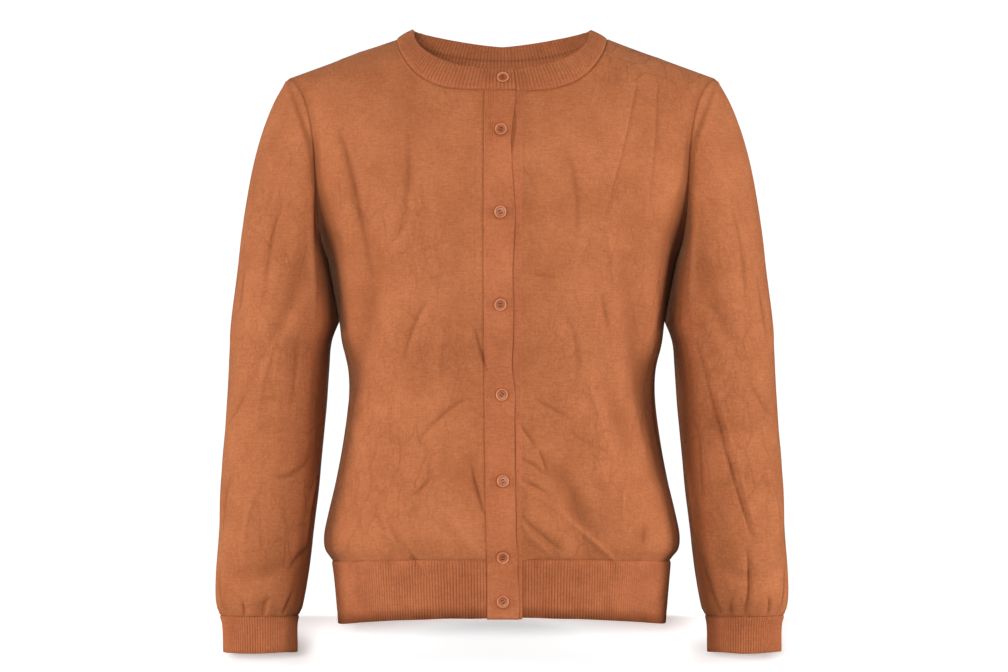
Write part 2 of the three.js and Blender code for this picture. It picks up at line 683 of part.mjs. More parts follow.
// Sets a panel's neck edge to the directions that it shares with the neckband.
function shareNeckSeam(places, columnOf, stopOf, count) {
  const row = places[places.length - 1];
  for (let k = 0; k <= count; k += 1) row[columnOf(k)].normal = neckSeamNormals[stopOf(k)].clone();
}

// ---- the button bands ----
function bandDrift(rise) {
  return section(BAND_DRIFT, 'x', rise);
}

function bandPlaces(xs, shift, driftAt, neckFirst) {
  const grid = [];
  const tops = xs.map((x) => neckSeam(Math.abs(seamTurn(x))).rise);
  const heights = [];
  for (let j = 0; j <= ROWS; j += 1) heights.push(j / ROWS);
  const rowAt = (riseOf) => xs.map((x, i) => {
    const rise = riseOf(i);
    return bodyPlace(frontAngle(x + driftAt(rise), rise), rise, shift);
  });
  grid.push(rowAt(() => HEM_EDGE));
  for (const part of heights) grid.push(rowAt((i) => lerp(HEM_SEAM, tops[i], part)));
  grid[0].forEach((place) => { place.normal = level(place.normal); });
  grid[1].forEach((place) => { place.normal = level(place.normal); });
  xs.forEach((x, i) => {
    grid[grid.length - 1][i].normal = neckSeamNormals[neckFirst(i)].clone();
  });
  return grid;
}

// ---- the buttons ----
function buttonGeometry() {
  const { radius, rim, dish, bead } = BUTTON;
  const profile = [
    [0, 0], [radius - 0.9, 0], [radius, 0.9], [radius - 0.25, rim - 0.4], [radius - bead * 0.7, rim],
    [radius - bead * 1.6, dish + 0.15], [0, dish],
  ].map(([r, z]) => new THREE.Vector2(r, z));
  const lathe = new THREE.LatheGeometry(profile, BUTTON_SIDES);
  lathe.rotateX(Math.PI / 2);
  let solid = solidOf(lathe);
  for (const [sx, sy] of [[1, 1], [-1, 1], [-1, -1], [1, -1]]) {
    const hole = new THREE.CylinderGeometry(BUTTON.hole, BUTTON.hole, 4 * rim, HOLE_SIDES);
    hole.rotateX(Math.PI / 2);
    hole.translate(sx * BUTTON.holeAt, sy * BUTTON.holeAt, 0);
    solid = solid.subtract(solidOf(hole));
  }
  return geometryOf(solid);
}

function solidOf(geometry) {
  const bare = geometry.clone();
  bare.deleteAttribute('normal');
  bare.deleteAttribute('uv');
  const merged = mergeVertices(bare, 1e-4);
  const mesh = new wasm.Mesh({
    numProp: 3,
    vertProperties: new Float32Array(merged.attributes.position.array),
    triVerts: new Uint32Array(merged.index.array),
  });
  return new wasm.Manifold(mesh);
}

function geometryOf(solid) {
  const mesh = solid.getMesh();
  return facingOut(Array.from(mesh.vertProperties), Array.from(mesh.triVerts));
}

function buttonPlace(x, z) {
  const rise = bisect(HEM_EDGE, TOP, (r) => formPoint(frontAngle(x, r), r).z - z);
  return bodyPlace(frontAngle(x, rise), rise, LAP);
}

// ---- the garment ----
const cardigan = new THREE.Group();

function panelTrims(front) {
  const side = (j) => (j > SIDE_ROWS ? ARM_SEAM_GAP : SEAM_GAP);
  return { start: front ? SEAM_GAP : side, end: side, bottom: SEAM_GAP, top: SEAM_GAP };
}

const rightSeam = (rise) => BAND_SEAM - bandDrift(rise);
const leftPatch = frontPatch(UNDER_SEAM, () => UNDER_SEAM);
const rightPatch = frontPatch(BAND_SEAM, rightSeam);
const FRONT_COLUMNS = NECK_COLUMNS + SHOULDER_COLUMNS;
const firstRight = BAND_COLUMNS;
const lastLeft = neckStops.length - 1 - BAND_COLUMNS;

function addFront(name, shape, mirror) {
  const places = placesOf(shape, mirror);
  shareArmSeam(places, FRONT_COLUMNS, true, mirror);
  shareHemSeam(places);
  const stopOf = (k) => (mirror ? firstRight + k : lastLeft - k);
  shareNeckSeam(places, (k) => k, stopOf, NECK_COLUMNS - 1);
  trimEdges(places, panelTrims(true));
  cardigan.add(sewPiece(name, KNIT, places));
}

function addBack() {
  const places = placesOf(backPatch(), false);
  const columns = places[0].length - 1;
  shareArmSeam(places, 0, false, false);
  shareArmSeam(places, columns, false, true);
  shareHemSeam(places);
  const stopOf = (k) => firstRight + NECK_COLUMNS + 2 * NECK_COLUMNS - k;
  shareNeckSeam(places, (k) => SHOULDER_COLUMNS + k, stopOf, 2 * NECK_COLUMNS);
  trimEdges(places, panelTrims(false));
  cardigan.add(sewPiece('back', KNIT, places));
}

// The hem rib keeps the panel's columns; a front's first column keeps the band's seam line.
function hemPlaces(seamAngles, edgeStart) {
  const last = seamAngles.length - 1;
  const row = (rise, first) => seamAngles.map((angle, i) => {
    const place = bodyPlace(angle + (first - seamAngles[0]) * (1 - i / last), rise);
    return { point: place.point, normal: level(place.normal) };
  });
  return [row(HEM_EDGE, edgeStart), row(HEM_SEAM, seamAngles[0])];
}

function addHem(name, seamAngles, edgeStart) {
  const places = hemPlaces(seamAngles, edgeStart);
  trimEdges(places, { start: SEAM_GAP, end: SEAM_GAP, top: SEAM_GAP });
  cardigan.add(sewPiece(name, RIB, places, { ribs: HEM_RIBS }));
}

function sleevePlaces() {
  const count = 2 * ARM_ROWS;
  const grid = [];
  const ringPoints = (row) => {
    const points = [];
    for (let j = 0; j < count; j += 1) points.push(row(j));
    return points;
  };
  for (let k = 0; k < CAP_ROWS; k += 1) {
    grid.push(ringPoints((j) => {
      const { leave, arrive } = capSlopes(j);
      return hermitePoint(armPoints[j], leave, sleeveRing(UNDER_CAP, j), arrive, k / CAP_ROWS);
    }));
  }
  for (const z of SLEEVE_ROWS) grid.push(ringPoints((j) => sleeveRing(z, j)));
  return grid.map((row, k) => row.map((point, j) => {
    if (k === 0) return { point: point.clone(), normal: armPlaces[j].normal.clone() };
    const around = row[(j + 1) % count].clone().sub(row[(j + count - 1) % count]);
    const down = grid[Math.min(k + 1, grid.length - 1)][j].clone().sub(grid[k - 1][j]);
    const normal = down.cross(around).normalize();
    const fade = smoothstep(k / 3);
    const fold = fade * foldHeight(SLEEVE_FOLDS, null, (j / count) * 360, point.z);
    return { point: point.clone().addScaledVector(normal, fold), normal };
  }));
}

function mirroredPlaces(grid) {
  return grid.map((row) => row.map(({ point, normal }) => {
    return { point: flip(point), normal: flip(normal) };
  }));
}

function addSleeve(side, mirror) {
  const sleeve = sleevePlaces();
  const seam = sleeve[sleeve.length - 1];
  for (const place of seam) place.normal = level(place.normal);
  const cuff = [seam, seam.map((place, j) => {
    return { point: sleeveRing(CUFF_EDGE, j), normal: place.normal };
  })].map((row) => row.map(({ point, normal }) => ({ point: point.clone(), normal: normal.clone() })));
  trimEdges(sleeve, { bottom: ARM_SEAM_GAP, top: SEAM_GAP });
  trimEdges(cuff, { bottom: SEAM_GAP });
  const turned = (grid) => (mirror ? mirroredPlaces(grid) : grid);
  cardigan.add(sewPiece(`sleeve_${side}`, KNIT, turned(sleeve), { closed: true }));
  cardigan.add(sewPiece(`cuff_${side}`, RIB, turned(cuff), { closed: true, ribs: CUFF_RIBS }));
}

addFront('front_right', rightPatch, true);
addFront('front_left', leftPatch, false);
addBack();
addHem(
  'hem_front_right',
  rightPatch[0].map((p) => mirrored(p.angle)),
  mirrored(frontAngle(rightSeam(HEM_EDGE), HEM_EDGE)),
);
addHem('hem_front_left', leftPatch[0].map((p) => p.angle), frontAngle(UNDER_SEAM, HEM_EDGE));
addHem('hem_back', backPatch()[0].map((p) => p.angle), 0);
addSleeve('right', true);
addSleeve('left', false);

const outerXs = [-BAND_SEAM, (BAND_EDGE - BAND_SEAM) / 2, BAND_EDGE];
const outerBand = bandPlaces(outerXs, LAP, bandDrift, (i) => BAND_COLUMNS - i);
trimEdges(outerBand, { start: SEAM_GAP, top: SEAM_GAP });
cardigan.add(sewPiece('placket_right', BAND, outerBand, { wall: BAND_WALL }));
const underXs = [UNDER_SEAM, (UNDER_SEAM - UNDER_EDGE) / 2, -UNDER_EDGE];
const underBand = bandPlaces(underXs, -LAP, () => 0, (i) => lastLeft + i);
trimEdges(underBand, { start: SEAM_GAP, top: SEAM_GAP });
cardigan.add(sewPiece('placket_left', BAND, underBand, { wall: BAND_WALL }));

trimEdges(neckGrid, { bottom: SEAM_GAP });
cardigan.add(sewPiece('neckband', RIB, neckGrid, { ribs: NECK_RIBS }));

const buttonShape = buttonGeometry();
for (const { name, x, z, stand } of BUTTONS) {
  const place = buttonPlace(x, z);
  const button = new THREE.Mesh(buttonShape, GLOSS);
  const wall = name === 'button_1' ? WALL / 2 + RIB_RAISE : BAND_WALL / 2;
  button.position.copy(place.point).addScaledVector(place.normal, wall + stand);
  button.quaternion.setFromUnitVectors(vec(0, 0, 1), place.normal);
  button.name = name;
  cardigan.add(button);
}

export default cardigan;
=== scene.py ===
"""A fine-knit, button-front, crew-neck cardigan, hollow and filled out as if worn.

Sizes are in millimetres until a mesh is made. +X is the wearer's left, front is -Y, +Z up.
Every cloth piece is a thin shell on the same form as its CAD solid, with its creases, ribs,
seams and knit added.
"""
import math

import bpy
import numpy as np
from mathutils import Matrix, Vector


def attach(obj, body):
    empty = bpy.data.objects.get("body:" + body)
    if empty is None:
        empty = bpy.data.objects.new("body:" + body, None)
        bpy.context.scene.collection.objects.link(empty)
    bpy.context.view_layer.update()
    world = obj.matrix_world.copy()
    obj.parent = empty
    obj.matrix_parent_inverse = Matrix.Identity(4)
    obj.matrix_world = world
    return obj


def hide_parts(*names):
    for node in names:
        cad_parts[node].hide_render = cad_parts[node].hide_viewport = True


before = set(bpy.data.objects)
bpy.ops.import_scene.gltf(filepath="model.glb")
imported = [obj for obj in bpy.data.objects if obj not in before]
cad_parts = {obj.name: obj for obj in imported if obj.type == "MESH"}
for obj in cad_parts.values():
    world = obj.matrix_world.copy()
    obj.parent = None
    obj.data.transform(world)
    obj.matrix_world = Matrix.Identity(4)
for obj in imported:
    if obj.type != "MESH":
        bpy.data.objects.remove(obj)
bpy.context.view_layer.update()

# ---- driving sizes, as in the solids ----
WALL = 1.6
BAND_WALL = 2.0
SHOULDER_HALF, SHOULDER_TOP = 208, 2
NECK_HALF, NECK_SHOULDER_TOP = 102, 41
CROWN_RISE, RIDGE_BACK = 19, 8
UNDERARM, YOKE_SPAN = -172, 250
YOKE_LIFT, YOKE_FRONT, YOKE_BACK, YOKE_SPREAD = 1.25, 225, 165, 84
TOP = UNDERARM + YOKE_SPAN
HEM_SEAM, HEM_EDGE = -463, -523
UNDER_CAP, CUFF_SEAM, CUFF_EDGE = -232, -515, -549.5
BAND_SEAM, BAND_EDGE = 16.5, 12.5
UNDER_SEAM, UNDER_EDGE = 19.4, 11
LAP, LAP_EASE = 1.25, 46
NECK_SEAM = {"front": 89.5, "back": 58, "middle": 4, "front_square": 2.9, "back_square": 2.2}
NECK_TOP = {
    "half": 86, "front": 76, "back": 55, "front_z": 7.5, "side_z": 50, "back_z": 37.5,
    "round": 2.1, "back_rise": 1.3,
}
ARMHOLE = {"front": 30, "back": 25, "round": 0.52}
CAP_ROWS = 6
PANEL_ROWS = 24
PANEL_SIDE_ROWS = 12
NECK_COLUMNS = 7
SHOULDER_COLUMNS = 7
FRONT_COLUMNS = NECK_COLUMNS + SHOULDER_COLUMNS
SIDE_FADE = 1.5
MM = 0.001  # in metres

# ---- knit sizes ----
RIB_WIDE = 2.33  # one rib, as knit
RIB_RAISE = 0.55
WALE = 1.5  # one column of stitches
COURSE = 1.1  # one row of stitches


class Table:
    """Rows of sizes by height, read through a smooth curve."""

    def __init__(self, names, rows):
        self.names = names.split()
        self.rows = np.array(sorted(rows), float)

    def at(self, name, z):
        zs = self.rows[:, 0]
        values = self.rows[:, self.names.index(name)]
        last = len(zs) - 1
        z = np.clip(z, zs[0], zs[-1])
        i = np.clip(np.searchsorted(zs, z, side="right") - 1, 0, last - 1)
        before = np.maximum(np.arange(len(zs)) - 1, 0)
        after = np.minimum(np.arange(len(zs)) + 1, last)
        slope = (values[after] - values[before]) / (zs[after] - zs[before])
        span = zs[i + 1] - zs[i]
        t = (z - zs[i]) / span
        return hermite(values[i], slope[i] * span, values[i + 1], slope[i + 1] * span, t)


def hermite(a, slope_a, b, slope_b, t):
    t2, t3 = t * t, t * t * t
    leave, arrive = (t3 - 2 * t2 + t) * slope_a, (t3 - t2) * slope_b
    return (2 * t3 - 3 * t2 + 1) * a + leave + (3 * t2 - 2 * t3) * b + arrive


TORSO = Table("z side front back square lift", [
    (-523, 157.5, 103, 103, 2.35, 11),
    (-463, 162.5, 106, 106, 2.3, 5.5),
    (-452, 170, 108.6, 110, 2.3, 5),
    (-440, 171.5, 110, 112, 2.3, 4),
    (-425, 169, 110, 111, 2.3, 3),
    (-386, 160, 105, 102, 2.3, 1),
    (-347, 152.8, 99, 92, 2.3, 0),
    (-308, 148, 98, 85, 2.3, 0),
    (-280, 148.5, 102, 84, 2.3, 0),
    (-252, 154.4, 110, 88, 2.3, 0),
    (-232, 156.8, 114, 91, 2.3, 0),
    (-202, 162, 120, 96, 2.3, 0),
    (-172, 168, 123, 99, 2.3, 0),
])
SLEEVE = Table("z inner outer front back", [
    (-232, 159.1, 260.5, -58.5, 48.5),
    (-242, 162.4, 261.7, -59.5, 47.5),
    (-252, 165.2, 262.5, -60, 47),
    (-270, 166.8, 263.5, -60, 45),
    (-308, 170, 265.5, -60, 41),
    (-347, 173.8, 268, -60, 37),
    (-386, 176.7, 270.5, -60, 33),
    (-425, 180.7, 272.3, -60, 28),
    (-464, 185.7, 275, -59, 23),
    (-486, 189.3, 275.9, -58, 20),
    (-500, 191.8, 275.5, -56, 18),
    (-508, 193.6, 274, -53, 15),
    (-515, 196.6, 271.6, -50, 12),
    (-524, 198.6, 269, -48, 10),
    (-549.5, 198.8, 268.4, -48, 10),
])
SLEEVE_SQUARE = 2.1
BAND_DRIFT = Table("z x", [
    (-523, 2.4), (-463, 2.1), (-420, 1.4), (-340, 0.2), (-240, -0.6), (-120, -0.8), (-20, 0), (78, 0),
])
# how the outer band's free edge waves, left of its straight line, and stands off the cloth
EDGE_WAVE = Table("z x lift", [
    (-523, 1.0, 0.3), (-508, 1.9, 0.6), (-492, 1.2, 0.5), (-474, 0.2, 0.9), (-458, 0.6, 0.4),
    (-440, -0.8, 0.5), (-420, -0.6, 0.8), (-393, -0.5, 0.5), (-352, -0.4, 1.3), (-322, -0.3, 1.0),
    (-304, 0.2, 0.4), (-272, -2.4, 1.5), (-252, -1.4, 1.8), (-220, -0.8, 0.5), (-184, -1.4, 1.0),
    (-150, 0.4, 1.1), (-130, 0.5, 0.4), (-96, -2.4, 1.2), (-78, -3.0, 0.9), (-46, 1.0, 0.4), (-26, -0.6, 0.9),
    (0, 0.6, 0.5),
])

# where sleeve and body meet and light hardly reaches: its middle line, half width and depth
HOLLOW = Table("z x wide deep", [
    (-549.5, 201, 8, 0.45), (-515, 199, 8, 0.45), (-425, 184, 8, 0.52), (-347, 177.5, 8, 0.56),
    (-289, 173.5, 9, 0.6), (-252, 166.5, 9, 0.8), (-238, 161, 9, 0.95), (-211, 160.5, 9.5, 1.0),
    (-180, 163, 10, 0.95), (-153, 167.5, 11, 0.85), (-134, 171, 9, 0.7), (-112, 174.5, 7, 0.55),
    (-92, 178, 5, 0.42), (-66, 182.5, 4, 0.34), (-40, 192, 3, 0.25), (0, 207, 3, 0.1),
])
HOLLOW_DARK = -11  # the valley's darkest, as a fold value

# ---- creases: start, bend and end on the flat map, width and height of the soft ridge or trough ----
CREASE_DEPTH = 2.1  # the smaller creases' heights are multiplied by this
CREASE_REACH = 3  # a crease is felt this many widths away
CREASE_CORE, CORE_WIDTH = 0.45, 0.42  # a sharp crease's narrow core: shares of its height and width
CURVE_STEPS = 14  # straight parts in a crease's curve
FRONT_FOLDS = [
    # x1, z1, xb, zb, x2, z2, width, height: the largest, which the solids have too
    (116, -183, 129, -262, 150, -378, 12, -6.1),
    (-118, -187, -133, -240, -141, -296, 11, -5.4),
    (-97, -283, -74, -322, -40, -371, 10, 3.2),
    (-110, -371, -92, -412, -63, -455, 10, 4.1),
    (-122, -404, -104, -430, -92, -455, 8, -3.4),
    (42, -368, 74, -392, 84, -456, 12, -5.4),
    (100, -288, 108, -324, 122, -362, 10, -3.5),
    (24, -404, 40, -424, 60, -452, 9, 4.1),
]
FRONT_CREASES = [
    # the wearer's right side
    (-154, -52, -140, -94, -124, -187, 5, -1.5),
    (-167, -60, -152, -118, -146, -160, 5, 1.1),
    (-116, -402, -108, -428, -95, -452, 4, 1.2),
    (-127, -422, -108, -432, -86, -454, 4, 1.2),
    (-47, -414, -34, -434, -18, -456, 4, 1.1),
    (-93, -441, -84, -458, -68, -477, 4, -1.2),
    (-29, -367, -24, -392, -16, -414, 4, -1.3),
    (-25, -240, -18, -268, -6, -296, 3.4, -1.3),
    (-20, -146, -8, -149, 2, -153, 3, -0.8),
    (-45, -472, -20, -474, 8, -469, 3, -1.1),
    (-156, -484, -152, -494, -143, -500, 3, -0.9),
    (-88, -52, -84, -102, -96, -150, 7, -0.9),
    (-58, -96, -66, -132, -60, -178, 6, 0.7),
    (-70, -214, -86, -236, -92, -268, 5, -0.9),
    (-52, -232, -62, -262, -58, -292, 5, 0.8),
    (-34, -306, -58, -318, -78, -346, 4, -1.0),
    (-140, -330, -128, -362, -124, -392, 6, 1.3),
    (-64, -376, -74, -392, -92, -402, 4, -0.9),
    # the wearer's left side
    (94, -206, 96, -222, 100, -238, 5, -1.0),
    (82, -287, 88, -312, 97, -334, 5, 1.2),
    (17, -331, 24, -338, 31, -350, 2.6, -0.8),
    (34, -353, 40, -362, 43, -377, 2.6, -0.8),
    (17, -362, 30, -366, 41, -377, 2.6, -0.9),
    (17, -382, 32, -386, 45, -397, 3, -1.0),
    (21, -418, 38, -432, 55, -448, 3, -1.2),
    (19, -423, 32, -440, 47, -454, 3, 1.0),
    (19, -389, 70, -418, 116, -469, 3, 1.0),
    (32, -308, 48, -314, 64, -325, 2.6, -0.8),
    (28, -189, 40, -188, 52, -193, 2.6, -0.7),
    (136, -428, 136, -436, 134, -444, 4, -1.2),
    (129, 0, 118, -66, 95, -137, 2.8, -0.6),
    (148, -12, 148, -60, 140, -111, 3, -0.7),
    (185, -20, 164, -56, 155, -111, 5, 1.1),
    (159, -161, 156, -200, 155, -241, 5, 1.1),
    (187, -14, 180, -26, 171, -41, 4, -1.1),
    (60, -70, 74, -110, 70, -150, 6, -0.8),
    (96, -140, 108, -176, 104, -214, 5, 0.9),
    (60, -228, 74, -252, 70, -290, 6, -0.9),
    (120, -376, 112, -400, 116, -430, 5, 1.2),
    (64, -336, 82, -352, 104, -356, 4, -0.9),
]
BACK_FOLDS = [
    (122, -180, 128, -250, 118, -330, 13, -5.4),
    (-124, -176, -130, -255, -116, -340, 13, -5.4),
    (-70, -290, -5, -312, 64, -296, 13, -4.9),
    (-46, -340, 8, -352, 88, -330, 11, -3.5),
    (-104, -392, -74, -420, -58, -455, 10, 4.1),
    (96, -386, 84, -420, 50, -455, 10, 4.1),
]
BACK_CREASES = [
    (-158, -40, -142, -90, -134, -150, 5, -1.5),
    (160, -36, 146, -92, 138, -158, 5, -1.5),
    (-176, -24, -160, -70, -154, -120, 5, 1.1),
    (176, -26, 162, -66, 152, -112, 5, 1.1),
    (-96, 6, -84, -50, -92, -110, 6, -0.8),
    (88, 2, 82, -46, 96, -104, 5, -0.7),
    (-30, -60, -44, -120, -26, -170, 7, -0.9),
    (42, -78, 36, -130, 52, -176, 6, 0.8),
    (-104, -214, -66, -236, -30, -230, 5, -1.2),
    (20, -240, 62, -252, 104, -226, 5, -1.3),
    (-88, -262, -40, -276, 12, -266, 4, 1.2),
    (30, -276, 70, -284, 112, -262, 4, 1.0),
    (-112, -318, -60, -330, -14, -322, 4, -1.1),
    (12, -316, 50, -322, 96, -306, 4, 1.0),
    (-90, -360, -50, -376, -20, -372, 4, -1.1),
    (20, -376, 60, -392, 96, -380, 4, -1.0),
    (-20, -400, -26, -430, -12, -456, 5, 1.2),
    (18, -410, 26, -434, 16, -458, 4, -1.2),
    (-128, -400, -134, -424, -126, -452, 5, -1.3),
    (126, -396, 134, -420, 124, -450, 5, -1.3),
    (-70, -414, -50, -430, -40, -452, 3, -1.1),
    (66, -420, 76, -436, 80, -456, 3, 1.0),
]
SLEEVE_FOLDS = [
    # around1, z1, around_b, zb, around2, z2, width, height; 0 inner side, 90 front, 180 outer side
    (128, -95, 140, -125, 134, -160, 9, -3.2),
    (60, -170, 80, -215, 98, -262, 10, -3.5),
    (50, -345, 92, -330, 134, -352, 11, -3.8),
    (228, -330, 270, -348, 318, -326, 11, -4.1),
    (60, -468, 96, -486, 136, -474, 9, -3.5),
    (216, -470, 262, -488, 306, -472, 9, -3.5),
]
RIGHT_SLEEVE_CREASES = [
    (148, -181, 150, -200, 148, -222, 5, -1.2),
    (55, -97, 50, -160, 56, -231, 9, 1.5),
    (68, -247, 66, -280, 70, -314, 3, -0.9),
    (51, -468, 40, -456, 24, -452, 5, -1.7),
    (52, -513, 46, -504, 42, -494, 4, -2.0),
    (157, -468, 156, -496, 143, -515, 4, -1.8),
    (140, -525, 112, -538, 86, -549, 3.4, -1.2),
    (104, -110, 116, -160, 110, -212, 5, -1.0),
    (92, -250, 112, -290, 106, -336, 4, 0.9),
    (120, -296, 136, -318, 158, -330, 4, -1.0),
    (38, -362, 60, -384, 84, -380, 4, -1.1),
    (100, -392, 118, -420, 112, -452, 5, 1.0),
    (140, -380, 156, -408, 150, -440, 5, -1.0),
    (76, -496, 84, -506, 80, -522, 3.4, -1.5),
    (112, -498, 106, -508, 112, -522, 3.4, -1.3),
    (24, -380, 34, -410, 30, -446, 5, 1.1),
]
LEFT_SLEEVE_CREASES = [
    (57, -253, 86, -376, 103, -436, 3, -1.3),
    (64, -256, 94, -374, 110, -436, 3, 0.8),
    (97, -452, 98, -484, 87, -515, 4, -1.4),
    (33, -459, 36, -490, 56, -518, 5, -2.0),
    (104, -525, 106, -536, 101, -547, 3, -1.0),
    (118, -120, 126, -166, 118, -214, 5, -1.0),
    (60, -110, 52, -170, 58, -226, 9, 1.4),
    (140, -190, 148, -220, 144, -250, 5, -1.0),
    (112, -286, 128, -316, 150, -322, 4, -1.0),
    (44, -330, 50, -366, 46, -404, 4, -1.0),
    (130, -380, 146, -404, 142, -444, 5, 1.0),
    (158, -470, 154, -494, 146, -516, 4, -1.6),
    (120, -496, 126, -506, 120, -522, 3.4, -1.4),
    (72, -498, 66, -508, 70, -522, 3.4, -1.3),
    (24, -372, 30, -400, 26, -440, 5, 1.1),
]
HIDDEN_SLEEVE_CREASES = [
    # on the side and back of either sleeve, out of sight from the front
    (212, -150, 236, -196, 228, -244, 6, -1.3),
    (290, -170, 276, -216, 286, -262, 6, -1.4),
    (240, -270, 262, -290, 300, -284, 4, -1.3),
    (232, -306, 268, -322, 312, -304, 4, 1.2),
    (236, -362, 270, -378, 308, -360, 4, -1.3),
    (200, -372, 206, -404, 198, -440, 5, -1.0),
    (250, -400, 262, -430, 254, -460, 5, 1.0),
    (300, -410, 310, -436, 300, -466, 5, -1.2),
    (228, -494, 234, -506, 228, -522, 3.4, -1.4),
    (282, -496, 276, -508, 282, -522, 3.4, -1.4),
]


# ---- small tools ----
def smoothstep(t):
    t = np.clip(t, 0, 1)
    return t * t * (3 - 2 * t)


def lerp(a, b, t):
    return a + (b - a) * t


def unit(v):
    return v / np.maximum(np.linalg.norm(v, axis=-1, keepdims=True), 1e-12)


def bell(distance, width):
    return np.exp(-((distance / width) ** 2))


def paired(a, b):
    return (np.array(values, float) for values in np.broadcast_arrays(a, b))


def point(*values):
    return np.stack(np.broadcast_arrays(*values), axis=-1).astype(float)


def squared(angle, square):
    c, s = np.cos(angle), np.sin(angle)
    scale = (np.abs(c) ** square + np.abs(s) ** square) ** (-1 / square)
    return c * scale, s * scale


def bisect(low, high, rises, steps=30):
    a, b = low + 0.0, high + 0.0
    for _ in range(steps):
        middle = (a + b) / 2
        over = rises(middle) > 0
        b = np.where(over, middle, b)
        a = np.where(over, a, middle)
    return (a + b) / 2


def soft_noise(u, v, seed):
    """Smooth noise from -1 to 1, with about one hump to a unit."""
    size = 64
    table = np.random.RandomState(seed).rand(size, size) * 2 - 1
    iu, iv = np.floor(u).astype(int), np.floor(v).astype(int)
    fu, fv = smoothstep(u - iu), smoothstep(v - iv)

    def at(a, b):
        return table[a % size, b % size]

    low = lerp(at(iu, iv), at(iu + 1, iv), fu)
    high = lerp(at(iu, iv + 1), at(iu + 1, iv + 1), fu)
    return lerp(low, high, fv)


def crease_height(creases, x, z, sharp=False):
    """The sum of the soft ridges and troughs at places on a flat map."""
    total = np.zeros(np.shape(x))
    for x1, z1, xb, zb, x2, z2, width, height in creases:
        reach = CREASE_REACH * width
        near = ((x > min(x1, xb, x2) - reach) & (x < max(x1, xb, x2) + reach)
                & (z > min(z1, zb, z2) - reach) & (z < max(z1, zb, z2) + reach))
        if not near.any():
            continue
        px, pz = x[near], z[near]
        t = np.linspace(0, 1, CURVE_STEPS + 1)
        lx = (1 - t) ** 2 * x1 + 2 * t * (1 - t) * xb + t * t * x2
        lz = (1 - t) ** 2 * z1 + 2 * t * (1 - t) * zb + t * t * z2
        nearest = np.full(px.shape, np.inf)
        along = np.zeros(px.shape)
        for k in range(CURVE_STEPS):
            dx, dz = lx[k + 1] - lx[k], lz[k + 1] - lz[k]
            part = np.clip(((px - lx[k]) * dx + (pz - lz[k]) * dz) / (dx * dx + dz * dz), 0, 1)
            distance = np.hypot(px - lx[k] - part * dx, pz - lz[k] - part * dz)
            closer = distance < nearest
            nearest = np.where(closer, distance, nearest)
            along = np.where(closer, (k + part) / CURVE_STEPS, along)
        across = bell(nearest, width)
        if sharp:
            across = lerp(across, bell(nearest, CORE_WIDTH * width), CREASE_CORE)
        total[near] += height * np.sin(np.pi * (0.12 + 0.76 * along)) * across
    return total


# ---- the body's form: angle is 0 at the wearer's left side, -90 degrees at the front ----
def ridge_point(across):
    x = SHOULDER_HALF * across
    reach = np.abs(x)
    slope = (NECK_SHOULDER_TOP - SHOULDER_TOP) / (SHOULDER_HALF - NECK_HALF)
    outer = NECK_SHOULDER_TOP + (NECK_HALF - reach) * slope
    inner = NECK_SHOULDER_TOP + CROWN_RISE * (1 - (reach / NECK_HALF) ** 2)
    return point(x, RIDGE_BACK * (1 - reach / SHOULDER_HALF), np.where(reach > NECK_HALF, outer, inner))


def row_point(angle, z):
    across, along = squared(angle, TORSO.at("square", z))
    depth = np.where(along < 0, TORSO.at("front", z), TORSO.at("back", z))
    lift = TORSO.at("lift", z) * np.maximum(0, -along) ** 2
    return point(TORSO.at("side", z) * across, depth * along, z + lift)


def lower_point(angle, z):
    if np.min(z) >= HEM_SEAM:
        return row_point(angle, z)
    part = np.clip((z - HEM_EDGE) / (HEM_SEAM - HEM_EDGE), 0, 1)[..., None]
    straight = lerp(row_point(angle, HEM_EDGE), row_point(angle, HEM_SEAM), part)
    return np.where((z < HEM_SEAM)[..., None], straight, row_point(angle, z))


def form_point(angle, rise):
    angle, rise = paired(angle, rise)
    high = rise > UNDERARM
    if not high.any():
        return lower_point(angle, rise)
    if high.all():
        return yoke_point(angle, rise)
    made = np.empty((*angle.shape, 3))
    made[high] = yoke_point(angle[high], rise[high])
    made[~high] = lower_point(angle[~high], rise[~high])
    return made


def yoke_point(angle, rise):
    """The form above the underarm: it leaves the underarm's section and closes over the shoulders."""
    t = np.clip((rise - UNDERARM) / YOKE_SPAN, 0, 1)[..., None]
    start = lower_point(angle, UNDERARM)
    across, along = squared(angle, TORSO.at("square", UNDERARM))
    top = ridge_point(across)
    leave = (start - lower_point(angle, UNDERARM - 1)) * (YOKE_LIFT * (top - start)[..., 2:])
    leave[..., 0] += YOKE_SPREAD * across ** 3
    full = np.sqrt(np.abs(along))
    arrive = point(0, np.where(along < 0, full * YOKE_FRONT, -full * YOKE_BACK), 0)
    return hermite(start, leave, top, arrive, t)


def form_normal(angle, rise):
    upper = np.minimum(rise + 0.5, TOP)
    lower = np.maximum(upper - 1, HEM_EDGE)
    around = form_point(angle + 0.002, rise) - form_point(angle - 0.002, rise)
    return unit(np.cross(around, form_point(angle, upper) - form_point(angle, lower)))


def mirrored(angle):
    return np.pi - angle


def mirrored_places(places):
    return point(mirrored(places[..., 0]), places[..., 1])


def lap_shift(x, front):
    seam = np.where(x < 0, BAND_SEAM, UNDER_SEAM)
    fade = 1 - smoothstep((np.abs(x) - seam) / LAP_EASE)
    return np.where(front, np.where(x < 0, LAP, -LAP) * fade, 0)


